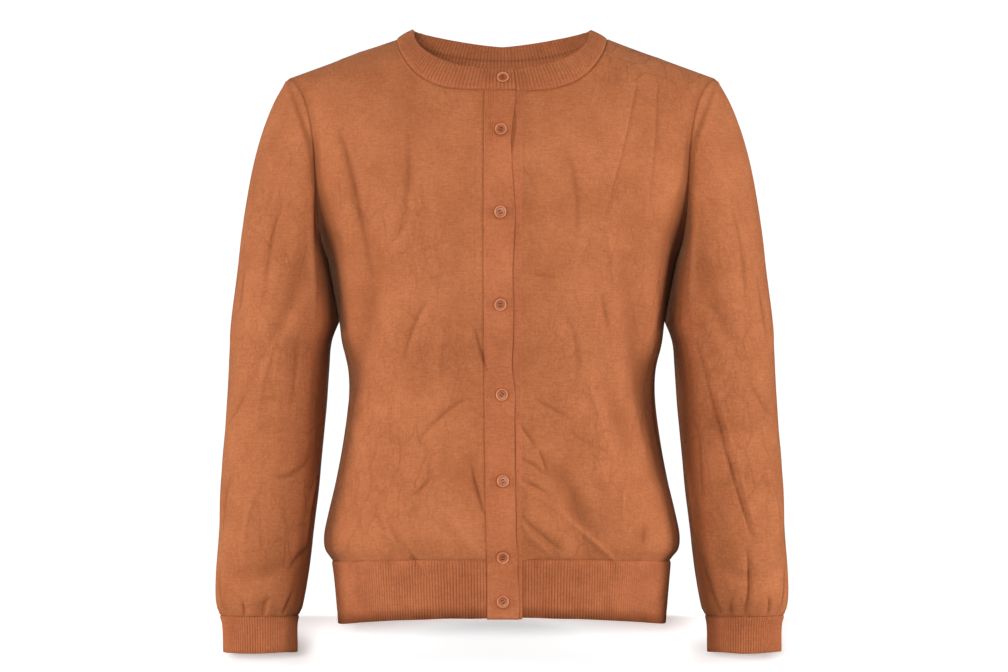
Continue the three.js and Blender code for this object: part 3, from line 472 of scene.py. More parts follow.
def body_place(angle, rise, shift=None):
    """The middle of the cloth and its outward direction, as in the solids."""
    angle, rise = paired(angle, rise)
    base = form_point(angle, rise)
    normal = form_normal(angle, rise)
    ridge = (rise >= TOP)[..., None]
    if ridge.any():
        normal = np.where(ridge, unit(normal + form_normal(-angle, rise)), normal)
    front = np.sin(angle) < 0
    away = lap_shift(base[..., 0], front) if shift is None else shift
    x, z = base[..., 0], base[..., 2]
    fold = np.where(front, crease_height(FRONT_FOLDS, x, z), crease_height(BACK_FOLDS, x, z))
    return base + normal * (away + fold)[..., None], normal, base


def front_angle(x, rise):
    x, rise = paired(x, rise)
    return bisect(-np.pi, 0, lambda a: form_point(a, rise)[..., 0] - x)


def neck_plan(turn, half, front_depth, back_depth, front):
    square = np.where(front, NECK_SEAM["front_square"], NECK_SEAM["back_square"])
    across, along = squared(np.radians(turn - 90), square)
    return half * across, NECK_SEAM["middle"] + np.where(front, front_depth, back_depth) * along


def neck_seam(turn, front):
    """Angle and rise of the neck seam in front or behind, straight above its oval on plan."""
    x, y = neck_plan(turn, NECK_HALF, NECK_SEAM["front"], NECK_SEAM["back"], front)
    sign, low = (1, -np.pi) if front else (-1, 0)

    def angle_at(rise):
        return bisect(low, low + np.pi, lambda a: sign * (form_point(a, rise)[..., 0] - x), 26)

    def ahead(rise):
        return sign * (form_point(angle_at(rise), rise)[..., 1] - y)

    rise = bisect(UNDERARM, TOP, ahead, 24)
    rise = np.where(np.abs(y - NECK_SEAM["middle"]) < 1e-6, TOP, rise)
    return angle_at(rise), rise


def turn_at(x):
    """How far round the neck seam, in degrees from the front's middle, a place x aside of it lies."""
    def over(turn):
        return neck_plan(turn, NECK_HALF, NECK_SEAM["front"], NECK_SEAM["back"], True)[0] - np.abs(x)

    return bisect(0, 60, over)


def seam_turn(x):
    return math.copysign(float(turn_at(np.full(1, x))[0]), x)


def arm_seam(part, front):
    reach = math.radians(-ARMHOLE["front"] if front else ARMHOLE["back"])
    swell = np.sin(np.pi * np.clip(part, 0, 1)) ** ARMHOLE["round"]
    return point(reach * swell, UNDERARM + YOKE_SPAN * part)


def even_part(s):
    """Steps along an armhole, closer where it turns fast."""
    return (1 - np.cos(np.pi * s)) / 2


# ---- flat lengths over the form, for the knit ----
RISES = np.linspace(HEM_EDGE, TOP, 201)
ANGLES = np.linspace(-np.pi, np.pi, 481)
_form = form_point(ANGLES[None, :], RISES[:, None])
_round = np.linalg.norm(np.diff(_form, axis=1), axis=-1)
_climb = np.linalg.norm(np.diff(_form, axis=0), axis=-1)
GIRTH = np.concatenate([np.zeros((len(RISES), 1)), np.cumsum(_round, 1)], 1)
HEIGHT = np.concatenate([np.zeros((1, len(ANGLES))), np.cumsum(_climb, 0)], 0)


def look_up(table, angle, rise):
    a = (angle + np.pi) / (2 * np.pi) * (len(ANGLES) - 1)
    r = (rise - HEM_EDGE) / (TOP - HEM_EDGE) * (len(RISES) - 1)
    ia = np.clip(np.floor(a).astype(int), 0, len(ANGLES) - 2)
    ir = np.clip(np.floor(r).astype(int), 0, len(RISES) - 2)
    fa, fr = a - ia, r - ir
    low = lerp(table[ir, ia], table[ir, ia + 1], fa)
    high = lerp(table[ir + 1, ia], table[ir + 1, ia + 1], fa)
    return lerp(low, high, fr)


def knit_map(angle, rise, front):
    """Stitch columns run straight up from the hem; both ways in millimetres."""
    turned = np.where(angle > 0, angle - 2 * np.pi, angle) if front else angle
    turned = np.clip(turned, -np.pi, np.pi)
    middle = np.full(np.shape(turned), -np.pi / 2 if front else np.pi / 2)
    across = look_up(GIRTH, turned, rise) - look_up(GIRTH, middle, rise)
    return across, look_up(HEIGHT, turned, rise)


# ---- materials ----
def linear(*colour):
    """A colour of 0 to 255 as the linear values that a shader takes."""
    parts = (c / 255 for c in colour)
    return tuple(c / 12.92 if c <= 0.04045 else ((c + 0.055) / 1.055) ** 2.4 for c in parts)


def tinted(colour, *by):
    return tuple(min(1, c * k) for c, k in zip(colour, by))


class Nodes:
    """A short way to write a material's nodes."""

    def __init__(self, name):
        self.material = bpy.data.materials.new(name)
        self.material.use_nodes = True
        self.tree = self.material.node_tree
        self.tree.nodes.clear()
        out = self.tree.nodes.new("ShaderNodeOutputMaterial")
        self.shader = self.tree.nodes.new("ShaderNodeBsdfPrincipled")
        self.tree.links.new(self.shader.outputs[0], out.inputs[0])

    def put(self, socket, value):
        if hasattr(value, "is_linked"):
            self.tree.links.new(value, socket)
        else:
            socket.default_value = value

    def paint(self, **values):
        """Sets inputs of the shader; the words of an input's name are joined by _."""
        for name, value in values.items():
            self.put(self.shader.inputs[name.replace("_", " ")], value)

    def node(self, kind, inputs, output=0, **settings):
        """Makes a node; inputs says a value or another node's output for each."""
        node = self.tree.nodes.new("ShaderNode" + kind)
        for name, value in settings.items():
            setattr(node, name, value)
        for socket, value in inputs.items():
            self.put(node.inputs[socket], value)
        return node.outputs[output]

    def math(self, operation, *values):
        return self.node("Math", dict(enumerate(values)), operation=operation)

    def chain(self, operation, first, *others):
        for value in others:
            first = self.math(operation, first, value)
        return first

    def plus(self, *values):
        return self.chain("ADD", *values)

    def times(self, *values):
        return self.chain("MULTIPLY", *values)

    def split(self, vector):
        node = self.tree.nodes.new("ShaderNodeSeparateXYZ")
        self.put(node.inputs[0], vector)
        return node.outputs

    def place(self):
        return self.node("TexCoord", {}, "Object")

    def attribute(self, name):
        return self.node("Attribute", {}, "Fac", attribute_name=name)

    def mapped(self, vector, **how):
        return self.node("Mapping", {"Vector": vector, **how})

    def noise(self, vector, scale, detail=2.0, rough=0.5, output="Fac"):
        inputs = {"Vector": vector, "Scale": scale, "Detail": detail, "Roughness": rough}
        return self.node("TexNoise", inputs, output)

    def veins(self, vector, scale, shift):
        """Fine lines where cells of a wandering net meet."""
        bend = self.noise(vector, scale * 1.3, 3.0, output="Color")
        moved = self.node("VectorMath", {0: bend, 1: (0.9 / scale,) * 3, 2: vector}, operation="MULTIPLY_ADD")
        net = {"Vector": self.mapped(moved, Location=shift), "Scale": scale}
        return self.node("TexVoronoi", net, "Distance", feature="DISTANCE_TO_EDGE")

    def ramp(self, value, *stops):
        """Eases from the third number to the fourth while value goes from the first to the second."""
        return self.node("MapRange", dict(enumerate((value, *stops))), interpolation_type="SMOOTHSTEP")

    def mix(self, part, a, b):
        a, b = (colour if hasattr(colour, "is_linked") else (*colour, 1) for colour in (a, b))
        return self.node("Mix", {0: part, 6: a, 7: b}, 2, data_type="RGBA")

    def bump(self, height, distance, strength, before):
        inputs = {"Strength": strength, "Distance": distance, "Height": height}
        return self.node("Bump", inputs if before is None else {**inputs, "Normal": before})


def stitches(n, uv, wale, course):
    """Plain knit: columns of small Vs. Returns height 0 to 1."""
    u, v, _ = n.split(uv)
    side = n.math("SUBTRACT", n.math("FRACT", n.math("DIVIDE", u, wale)), 0.5)
    row = n.plus(n.math("DIVIDE", v, course), n.times(n.math("ABSOLUTE", side), 0.9))
    leg = n.math("ABSOLUTE", n.math("SINE", n.times(row, math.pi)))
    rib = n.math("ABSOLUTE", n.math("SINE", n.times(side, 2 * math.pi)))
    return n.times(n.math("POWER", leg, 0.6), n.math("POWER", rib, 0.5))


RIDGE_LIGHT = (0.92, 0.50, 0.27)


def cloth_material(name, colour, knit=(WALE, COURSE), crumple=1.0, stitch=1.0):
    n = Nodes(name)
    place = n.place()
    uv = n.node("UVMap", {}, uv_map="knit")
    # the fold values carry painted shade and light, worked out with each piece's shape
    fold = n.attribute("fold")
    blotch = n.noise(place, 20, 3, 0.6)
    heather = n.noise(place, 420, 4, 0.75)
    streak = n.noise(n.mapped(uv, Scale=(0.085, 0.75, 1)), 1.0, 4, 0.65)
    ladder = n.noise(n.mapped(uv, Scale=(0.6, 0.03, 1)), 1.0, 3, 0.6)
    loops = stitches(n, uv, *knit)

    # long fine crumple lines, mostly upright, in some areas and not in others
    tall = n.mapped(place, Scale=(1.0, 1.0, 0.55))
    there = n.ramp(n.noise(place, 9, 2), 0.44, 0.64, 0.0, 1.0)
    wide = n.times(n.ramp(n.veins(tall, 44, (3, 1, 7)), 0.0, 0.09, 1.0, 0.0), there)
    elsewhere = n.ramp(n.noise(place, 13, 2), 0.42, 0.62, 0.0, 1.0)
    fine = n.times(n.ramp(n.veins(tall, 92, (9, 4, 2)), 0.0, 0.13, 1.0, 0.0), elsewhere)

    # the yarn: slow blotches, fine heather, streaks along the rows and ladders along the columns
    part = n.plus(n.times(blotch, 0.36), n.times(heather, 0.46), n.times(streak, 0.32), n.times(ladder, 0.10))
    deep, light = tinted(colour, 0.76, 0.70, 0.66), tinted(colour, 1.20, 1.27, 1.36)
    base = n.mix(n.ramp(part, 0.42, 0.86, 0.0, 1.0), deep, light)

    # shade between stitches, in the crumples and in the folds, and light on the ridges
    shade = n.plus(n.times(n.ramp(loops, 0.0, 0.6, 1.0, 0.0), 0.20 * stitch),
                   n.times(wide, 0.13 * crumple), n.times(fine, 0.10 * crumple),
                   n.ramp(fold, -3.2, 0.3, 0.55, 0.0))
    base = n.mix(shade, base, tinted(colour, 0.40, 0.34, 0.30))
    base = n.mix(n.ramp(fold, 0.4, 3.6, 0.0, 0.09), base, RIDGE_LIGHT)
    # painted shade, near black, where the fold values are deepest, as in the valley beside the sleeves
    base = n.mix(n.ramp(fold, -10.0, -2.6, 0.97, 0.0), base, tinted(colour, 0.10, 0.05, 0.035))
    normal = None
    for height, distance, strength in (
        (wide, 0.0009, 0.5 * crumple), (fine, 0.0005, 0.45 * crumple),
        (n.noise(tall, 74, 3, 0.6), 0.0018, 0.45 * crumple),
        (streak, 0.0005, 0.35), (loops, 0.0004, 0.45 * stitch),
    ):
        normal = n.bump(height, distance, strength, normal)
    n.paint(Base_Color=base, Roughness=n.ramp(heather, 0.2, 0.8, 0.80, 0.95), Specular_IOR_Level=0.2,
            Specular_Tint=(1.0, 0.5, 0.28, 1), Sheen_Weight=0.17, Sheen_Roughness=0.4,
            Sheen_Tint=(1.0, 0.55, 0.32, 1), Normal=normal)
    return n.material


KNIT = cloth_material("knit_jersey", linear(197, 119, 76))
RIB = cloth_material("knit_rib", linear(191, 114, 74), knit=(RIB_WIDE / 2, COURSE), crumple=0.3, stitch=0.7)
BAND = cloth_material("knit_band", linear(197, 117, 76), crumple=0.5)


# ---- meshes ----
CLOTH_SHARP, BUTTON_SHARP = 62, 50  # edges that turn more degrees than this stay sharp


def add_object(name, data):
    thing = bpy.data.objects.new(name, data)
    bpy.context.scene.collection.objects.link(thing)
    return thing


def add_mesh(name, vertices, faces):
    mesh = bpy.data.meshes.new(name)
    mesh.from_pydata(vertices, [], faces)
    mesh.update()
    return mesh


def dress(mesh, name, shade, material, sharp):
    """Makes a piece of a mesh: smooth but for its sharp edges, with its material and its fold values, the
    painted shade and light that the material reads.
    """
    mesh.polygons.foreach_set("use_smooth", np.ones(len(mesh.polygons), bool))
    mesh.attributes.new("fold", "FLOAT", "POINT").data.foreach_set("value", shade.astype(np.float32))
    mesh.materials.clear()
    mesh.materials.append(material)
    mesh.update()
    mesh.set_sharp_from_angle(angle=math.radians(sharp))
    piece = add_object(name, mesh)
    return piece


def cloth_mesh(name, vertices, faces, uvs, shade, material):
    """vertices in millimetres; uvs, one for each vertex, in millimetres too."""
    mesh = add_mesh(name, (vertices * MM).tolist(), faces)
    layer = mesh.uv_layers.new(name="knit")
    corner = np.empty(len(mesh.loops), np.int32)
    mesh.loops.foreach_get("vertex_index", corner)
    layer.data.foreach_set("uv", uvs[corner].astype(np.float32).ravel())
    return dress(mesh, name, shade, material, CLOTH_SHARP)


def quads(at):
    return np.stack([c.ravel() for c in (at[:-1, :-1], at[:-1, 1:], at[1:, 1:], at[1:, :-1])], -1)


def shell(name, outer, inner, closed, step, uv, shade, material):
    """Two grids joined round their rims. The inner one keeps every step-th row and column."""
    few = np.s_[::step[0], ::step[1]]
    kept = inner[few]
    vertices = np.concatenate([outer.reshape(-1, 3), kept.reshape(-1, 3)])
    uvs = np.concatenate([uv.reshape(-1, 2), uv[few].reshape(-1, 2)])
    shades = np.concatenate([shade.ravel(), shade[few].ravel()])
    # the vertices' numbers, laid out as the grids are
    ahead, behind = np.split(np.arange(len(vertices)), [shade.size])
    ahead, behind = ahead.reshape(outer.shape[:2]), behind.reshape(kept.shape[:2])
    if closed:
        ahead, behind = (np.pad(at, ((0, 0), (0, 1)), "wrap") for at in (ahead, behind))
    for many, kept_of_them, each in zip(ahead.shape, behind.shape, step):
        assert many - 1 == each * (kept_of_them - 1), name
    front, back = quads(ahead), quads(behind)[:, ::-1]
    faces = front.tolist() + back.tolist()

    def rim(outer_line, inner_line, flip):
        outer_line, inner_line = outer_line.tolist(), inner_line.tolist()
        each = (len(outer_line) - 1) // (len(inner_line) - 1)
        for k in range(len(inner_line) - 1):
            fan = outer_line[k * each:(k + 1) * each + 1]
            half = max(1, each // 2)
            a, b = inner_line[k], inner_line[k + 1]
            made = [(fan[m + 1], fan[m], a if m < half else b) for m in range(each)]
            made.append((b, fan[half], a))
            faces.extend([t[::-1] if flip else t for t in made])

    rim(ahead[0], behind[0], False)
    rim(ahead[-1], behind[-1], True)
    if not closed:
        rim(ahead[:, 0], behind[:, 0], True)
        rim(ahead[:, -1], behind[:, -1], False)
    centre = vertices[front].mean((0, 1))
    if space_within(vertices[front], centre) + space_within(vertices[back], centre) < 0:
        faces = [f[::-1] for f in faces]
    return cloth_mesh(name, vertices, faces, uvs, shades, material)


def space_within(corner, centre):
    """A measure of the space between faces and a centre; it is negative where they face inwards."""
    a, b, c = (corner[:, k] - centre for k in range(3))
    return np.einsum("ij,ij->", np.cross(b, c), a)


def grid_normals(grid, closed):
    around = np.roll(grid, -1, 1) - np.roll(grid, 1, 1)
    if not closed:
        around[:, 0], around[:, -1] = grid[:, 1] - grid[:, 0], grid[:, -1] - grid[:, -2]
    up = np.empty_like(grid)
    up[1:-1] = grid[2:] - grid[:-2]
    up[0], up[-1] = grid[1] - grid[0], grid[-1] - grid[-2]
    return unit(np.cross(around, up))


# ---- sewing the cloth ----
def graded(count, tight):
    """Even steps from 0 to 1 with a short one at either end, for the seams."""
    return np.concatenate([[0, tight], np.linspace(2.5 * tight, 1 - 2.5 * tight, count - 3), [1 - tight, 1]])


def path_length(grid, axis):
    step = np.linalg.norm(np.diff(grid, axis=axis), axis=-1)
    pad = [(0, 0), (0, 0)]
    pad[axis] = (1, 0)
    return np.cumsum(np.pad(step, pad), axis=axis)


def edge_distance(grid, sewn):
    """How far each place lies from the nearest sewn edge."""
    up, over = path_length(grid, 0), path_length(grid, 1)
    far = np.full(grid.shape[:2], NO_SEAM)
    ways = {"bottom": up, "top": up[-1:] - up, "start": over, "end": over[:, -1:] - over}
    for edge in sewn:
        far = np.minimum(far, ways[edge])
    return far


SEAM_DIP, SEAM_WIDTH = 0.9, 1.2
SEAM_CALM = 7  # creases die out this near to a seam
AT_SEAM = 0.6  # so near, the cloth still faces as its solid does
NO_SEAM = 1e3


def seam_dip(far):
    return SEAM_DIP * bell(far, SEAM_WIDTH)


def walls(middle, normal, far, relief=0.0):
    outer = middle + normal * (WALL / 2 - seam_dip(far) + relief)[..., None]
    return outer, middle - normal * (WALL / 2)


def own_facing(middle, normal, far):
    """The creased cloth's own directions, but for the rows right at a seam."""
    return np.where(far[..., None] < AT_SEAM, normal, grid_facing(middle, normal, False))


def from_ends(over):
    return np.minimum(over, over[:, -1:] - over)


def band_ease(x):
    """The doubled bands hold the cloth flatter."""
    return 0.35 + 0.65 * smoothstep((np.abs(x) - 11) / 8)


def hem_puckers(x, z):
    """Small upright gathers where the panels meet the rib."""
    above = np.exp(-np.maximum(0, z - HEM_SEAM) / 13)
    below = np.exp(-np.maximum(0, HEM_SEAM - z) / 10)
    gather = soft_noise(x / 7.5, z / 60 + 3, 5) + 0.7 * soft_noise(x / 15 + 4, z / 80, 6)
    side = 0.55 + 0.75 * smoothstep((np.abs(x) - 60) / 60)
    return gather * above * below * side


def sharp_creases(base, front):
    x, z = base[..., 0], base[..., 2]
    return CREASE_DEPTH * crease_height(FRONT_CREASES if front else BACK_CREASES, x, z, True)


def trough_shade(base, front):
    """Painted shade in the troughs of the creases."""
    folds = crease_height(FRONT_FOLDS if front else BACK_FOLDS, base[..., 0], base[..., 2])
    return np.minimum(0, 0.5 * sharp_creases(base, front) + folds)


def body_relief(base, front):
    """Creases and slow unevenness of the body's cloth, over its largest folds."""
    x, z = base[..., 0], base[..., 2]
    slow = 0.9 * soft_noise(x / 46 + 2, z / 60, 11) + 0.35 * soft_noise(x / 17, z / 24, 12)
    fine = 0.13 * soft_noise(x / 6, z / 9, 13)
    side = np.abs(x) / np.maximum(TORSO.at("side", np.minimum(z, UNDERARM)), 1)
    to_side = 1 - smoothstep((side - 0.90) / 0.095)
    relief = (sharp_creases(base, front) + slow + fine) * to_side + 0.9 * hem_puckers(x, z)
    return relief * band_ease(x)


def hollow_shade(place):
    """Dark, as a fold value, in the deep valley beside the sleeves."""
    x, z = np.abs(place[..., 0]), place[..., 2]
    return HOLLOW_DARK * HOLLOW.at("deep", z) * bell(x - HOLLOW.at("x", z), HOLLOW.at("wide", z))


# ---- the armhole seam, with the sleeve's way of leaving it ----
CAP_START = {"inward": (12, 0, -14), "outward": (126, 0, -200), "forward": 16}
CAP_END = {"inward": (-8, 0, -55), "outward": (28, 0, -240)}
ARM_STEPS = 12


def arm_curve(j):
    """Places on the armhole seam: j runs 0 to 12 up the front and 12 to 24 down the back."""
    front = j <= ARM_STEPS
    part = np.where(front, j, 2 * ARM_STEPS - j) / ARM_STEPS
    seam = np.where(front[..., None], arm_seam(part, True), arm_seam(part, False))
    return body_place(seam[..., 0], seam[..., 1], 0.0)[0]


def cap_slopes(turn):
    w = ((1 - np.cos(turn)) / 2)[..., None]
    leave = lerp(np.array(CAP_START["inward"], float), np.array(CAP_START["outward"], float), w)
    leave[..., 1] -= CAP_START["forward"] * np.sin(turn)
    return leave, lerp(np.array(CAP_END["inward"], float), np.array(CAP_END["outward"], float), w)


# ---- the neck seam, worked out once ----
_turns = np.linspace(0, 90, 121)
FRONT_NECK = neck_seam(_turns, True)
BACK_NECK = neck_seam(_turns + 90, False)


def neck_place(turn):
    """Angle and rise on the neck seam; turn is 0 at centre front and 180 at the back."""
    size = np.abs(turn)
    size = np.where(size > 180, 360 - size, size)
    angle, rise = (
        np.where(size <= 90, np.interp(size, _turns, ahead), np.interp(size - 90, _turns, behind))
        for ahead, behind in zip(FRONT_NECK, BACK_NECK)
    )
    return np.where((turn % 360) <= 180, angle, mirrored(angle)), rise


def shoulder_angle(part):
    x = lerp(NECK_HALF, SHOULDER_HALF, part)
    square = TORSO.at("square", UNDERARM)
    return bisect(0, np.pi / 2, lambda a: x - SHOULDER_HALF * squared(a, square)[0])


def side_edge(rows, front):
    low = rows <= PANEL_SIDE_ROWS
    side = point(0, lerp(HEM_SEAM, UNDERARM, rows / PANEL_SIDE_ROWS))
    arm = arm_seam(even_part(np.clip(rows / PANEL_SIDE_ROWS - 1, 0, 1)), front)
    return np.where(low[:, None], side, arm)


def patch(rows, columns, bottom, top, start, end):
    """Places between four edges, ruled upwards; each side edge's own shape fades out across."""
    ruled = lerp(bottom[None], top[None], (rows / PANEL_ROWS)[:, None, None])

    def fade(i):
        return (np.maximum(0, 1 - i / SHOULDER_COLUMNS) ** SIDE_FADE)[None, :, None]

    near = fade(columns) * (start[:, None] - ruled[:, :1])
    return ruled + near + fade(columns[-1] - columns) * (end[:, None] - ruled[:, -1:])


def front_patch(neck_x, seam_at, rows, columns):
    """A front on the wearer's left, from its band's seam to its side."""
    first = seam_turn(neck_x)
    top_rise = neck_place(np.array([first]))[1][0]
    rise = lerp(HEM_SEAM, top_rise, rows / PANEL_ROWS)
    start = point(front_angle(seam_at(rise), rise), rise)
    bottom = point(lerp(start[0, 0], 0, columns / FRONT_COLUMNS), HEM_SEAM)
    neck = point(*neck_place(lerp(first, 90, np.minimum(columns / NECK_COLUMNS, 1))))
    shoulder = point(-shoulder_angle(np.clip(columns / SHOULDER_COLUMNS - 1, 0, 1)), TOP)
    top = np.where((columns <= NECK_COLUMNS)[:, None], neck, shoulder)
    return patch(rows, columns, bottom, top, start, side_edge(rows, True))


def back_patch(rows, columns):
    count = columns[-1]
    half = np.minimum(columns, count - columns)
    right = columns > count / 2
    shoulder = point(shoulder_angle(np.clip(1 - half / SHOULDER_COLUMNS, 0, 1)), TOP)
    turn = 90 + 90 * np.clip((half - SHOULDER_COLUMNS) / NECK_COLUMNS, 0, 1)
    top = np.where((half < SHOULDER_COLUMNS)[:, None], shoulder, point(*neck_place(turn)))
    top[:, 0] = np.where(right, mirrored(top[:, 0]), top[:, 0])
    start = side_edge(rows, False)
    return patch(rows, columns, point(np.pi * columns / count, HEM_SEAM), top, start, mirrored_places(start))


def sew_panel(name, places, front):
    """A body panel from its grid of angles and rises."""
    angle, rise = places[..., 0], places[..., 1]
    middle, normal, base = body_place(angle, rise)
    left_front = front and base[0, 0, 0] > 0
    seam_far = edge_distance(middle, {"start", "end", "bottom", "top"})
    up, over = path_length(middle, 0), path_length(middle, 1)
    side_far = over[:, -1:] - over if front else from_ends(over)
    held = smoothstep(np.minimum(up[-1:] - up, side_far) / SEAM_CALM)
    relief = body_relief(base, front) * held
    arm_far = np.where(rise > UNDERARM + 2, side_far, NO_SEAM)
    gather = soft_noise(rise / 8, side_far / 40, 21) * np.exp(-arm_far / 9) * smoothstep(arm_far / 2)
    neck_far = np.where(np.abs(base[..., 0]) < NECK_HALF - 4, up[-1:] - up, NO_SEAM)
    near_neck = np.exp(-neck_far / 6) * smoothstep(neck_far / 2)
    gather = gather + soft_noise(base[..., 0] / 6, neck_far / 30, 22) * near_neck
    middle = middle + normal * (relief + 0.35 * gather)[..., None]
    normal = own_facing(middle, normal, seam_far)
    outer, inner = walls(middle, normal, np.where((over < 3) & left_front, 2 + over, seam_far))
    uv = point(*knit_map(angle, rise, front))
    upper = smoothstep((middle[..., 2] - UNDER_CAP + 14) / 10)
    # the seam beside the bands and over the rib hardly shows; the armhole and the neck show more
    strength = np.where(over < 3, 0.1 if left_front else 1.0, np.where(up < 3, 1.2, 2.0))
    # painted light and shade: lighter on the creases' ridges, darker in their troughs, light and shade on the
    # gathers, darker along the seams and in the valley beside the sleeves
    shade = 0.7 * relief + 0.36 * trough_shade(base, front) * held + 0.8 * gather
    shade = shade - strength * seam_dip(seam_far) + hollow_shade(middle) * upper
    return shell(name, outer, inner, False, (4, 4), uv, shade, KNIT)


def grid_facing(grid, like, closed):
    """The grid's own directions, on the same side as the given ones."""
    own = grid_normals(grid, closed)
    sign = np.sign(np.sum(own * like, -1, keepdims=True))
    return own * np.where(sign == 0, 1, sign)


# ---- the panels ----
def right_seam(rise):
    return BAND_SEAM - BAND_DRIFT.at("x", rise)


PANEL_ROW_STEPS = PANEL_ROWS * graded(320, 0.0014)
FRONT_COLUMN_STEPS = FRONT_COLUMNS * graded(184, 0.003)
BACK_COLUMN_STEPS = 2 * FRONT_COLUMNS * graded(160, 0.002)

left_patch = front_patch(UNDER_SEAM, lambda rise: UNDER_SEAM, PANEL_ROW_STEPS, FRONT_COLUMN_STEPS)
right_patch = mirrored_places(front_patch(BAND_SEAM, right_seam, PANEL_ROW_STEPS, FRONT_COLUMN_STEPS))
pieces = {
    "front_left": sew_panel("front_left_cloth", left_patch, True),
    "front_right": sew_panel("front_right_cloth", right_patch, True),
    "back": sew_panel("back_cloth", back_patch(PANEL_ROW_STEPS, BACK_COLUMN_STEPS), False),
}


# ---- the hem rib ----
RIB_CALM = 1.5  # ribs flatten out this near to a seam
RIB_MEAN = 0.42  # about the mean height of a rib's profile


def rib_profile(count, steps):
    """Heights of rounded ribs with narrow valleys, for a count of ribs."""
    f = (np.arange(count * steps + 1) / steps) % 1
    return 1 - np.abs(2 * f - 1) ** 2.6 * 1.25


def sew_hem(name, start_angles, end_angle, ribs, front):
    """A strip of 1x1 rib; its first side edge has its own angles at the hem's edge and seam."""
    steps = 8 if front else 6
    s = np.arange(ribs * steps + 1) / (ribs * steps)
    v = graded(18, 0.02)
    rise = lerp(HEM_EDGE, HEM_SEAM, v)[:, None]
    angle = lerp(lerp(*start_angles, v)[:, None], end_angle, s[None])
    middle, normal, base = body_place(angle, rise)
    far = edge_distance(middle, {"top", "start", "end"})
    over = path_length(middle, 1)
    side = over[:, -1:] - over if front else from_ends(over)
    held = smoothstep(side / SEAM_CALM)
    middle = middle + normal * (body_relief(base, front) * held)[..., None]
    middle[..., 2] += 0.5 * soft_noise(base[..., 0] / 26 + 9, 0, 31) * (1 - v[:, None]) ** 2
    normal = own_facing(middle, normal, far)
    calm = 1 - 0.6 * np.exp(-far / RIB_CALM)
    profile = rib_profile(ribs, steps)[None]
    outer, inner = walls(middle, normal, far, RIB_RAISE * profile * calm)
    up = path_length(middle, 0)
    uv = point(RIB_WIDE * ribs * s, up)
    x, z = base[..., 0], base[..., 2]
    # painted shade in the ribs' valleys, at the seam and along the lower edge, light and shade on the
    # puckers, and an uneven tone at random
    shade = 1.15 * (profile - 0.6) * calm + 0.75 * soft_noise(x / 9, z / 7, 32) + 0.6 * hem_puckers(x, z)
    shade = shade - 1.2 * seam_dip(far) - 5.5 * bell(up, 7) - 0.35
    outer, inner, uv, shade = free_edge(outer, inner, uv, shade, 0)
    return shell(name, outer, inner, False, (1, 4), uv, shade, RIB)


def free_edge(outer, inner, uv, shade, row):
    """Rounds the free edge at the given row: rows are added that turn from the outer side inwards."""
    back = 1 if row == 0 else -2
    middle = (outer[row] + inner[row]) / 2
    half = (outer[row] - inner[row]) / 2
    beyond = unit(middle - (outer[back] + inner[back]) / 2) * WALL / 2
    turns = np.radians([80, 55, 28])  # three rows, from the edge's tip up its outer side
    added = np.array([middle + half * math.cos(a) + beyond * math.sin(a) for a in turns])
    under = beyond[None] * np.array([0.9, 0.6, 0.3])[:, None, None]
    kept, shaded = np.repeat(uv[row][None], 3, 0), np.repeat(shade[row][None], 3, 0)
    if row == 0:
        pairs = (added, outer), (inner[:1] + under, inner), (kept, uv), (shaded, shade)
    else:
        pairs = (outer, added[::-1]), (inner, inner[-1:] + under[::-1]), (uv, kept), (shade, shaded)
    return [np.concatenate(pair) for pair in pairs]


def seam_angle(x, rise):
    return float(front_angle(np.array([x]), np.array([float(rise)]))[0])


FRONT_RIBS = 84
hem_right = [mirrored(seam_angle(float(right_seam(z)), z)) for z in (HEM_EDGE, HEM_SEAM)]
hem_left = [seam_angle(UNDER_SEAM, z) for z in (HEM_EDGE, HEM_SEAM)]
pieces["hem_front_left"] = sew_hem("hem_front_left_rib", hem_left, 0.0, FRONT_RIBS, True)
pieces["hem_front_right"] = sew_hem("hem_front_right_rib", hem_right, np.pi, FRONT_RIBS, True)
pieces["hem_back"] = sew_hem("hem_back_rib", [0.0, 0.0], np.pi, 2 * FRONT_RIBS, False)


# ---- the sleeves ----
def sleeve_ring(z, turn):
    across, along = squared(turn, SLEEVE_SQUARE)
    inner, outer = SLEEVE.at("inner", z), SLEEVE.at("outer", z)
    front, back = SLEEVE.at("front", z), SLEEVE.at("back", z)
    x = (inner + outer) / 2 - (outer - inner) / 2 * across
    y = (front + back) / 2 - (back - front) / 2 * along
    return point(x, y, z)


SLEEVE_COLUMNS = 168
CAP_STEPS, TUBE_STEPS = 110, 118
RIB_SEAM_SHADE = 2.6  # how much a seam at a cuff, an armhole or the neckband darkens
SIDE_GAP = 0.05  # between the sleeve and the body that it lies against


def lie_on_side(grid, closer, turn):
    """Moves the inner side of a sleeve's grid against the body."""
    grid[..., 0] += closer * np.maximum(0, np.cos(turn)) ** 2


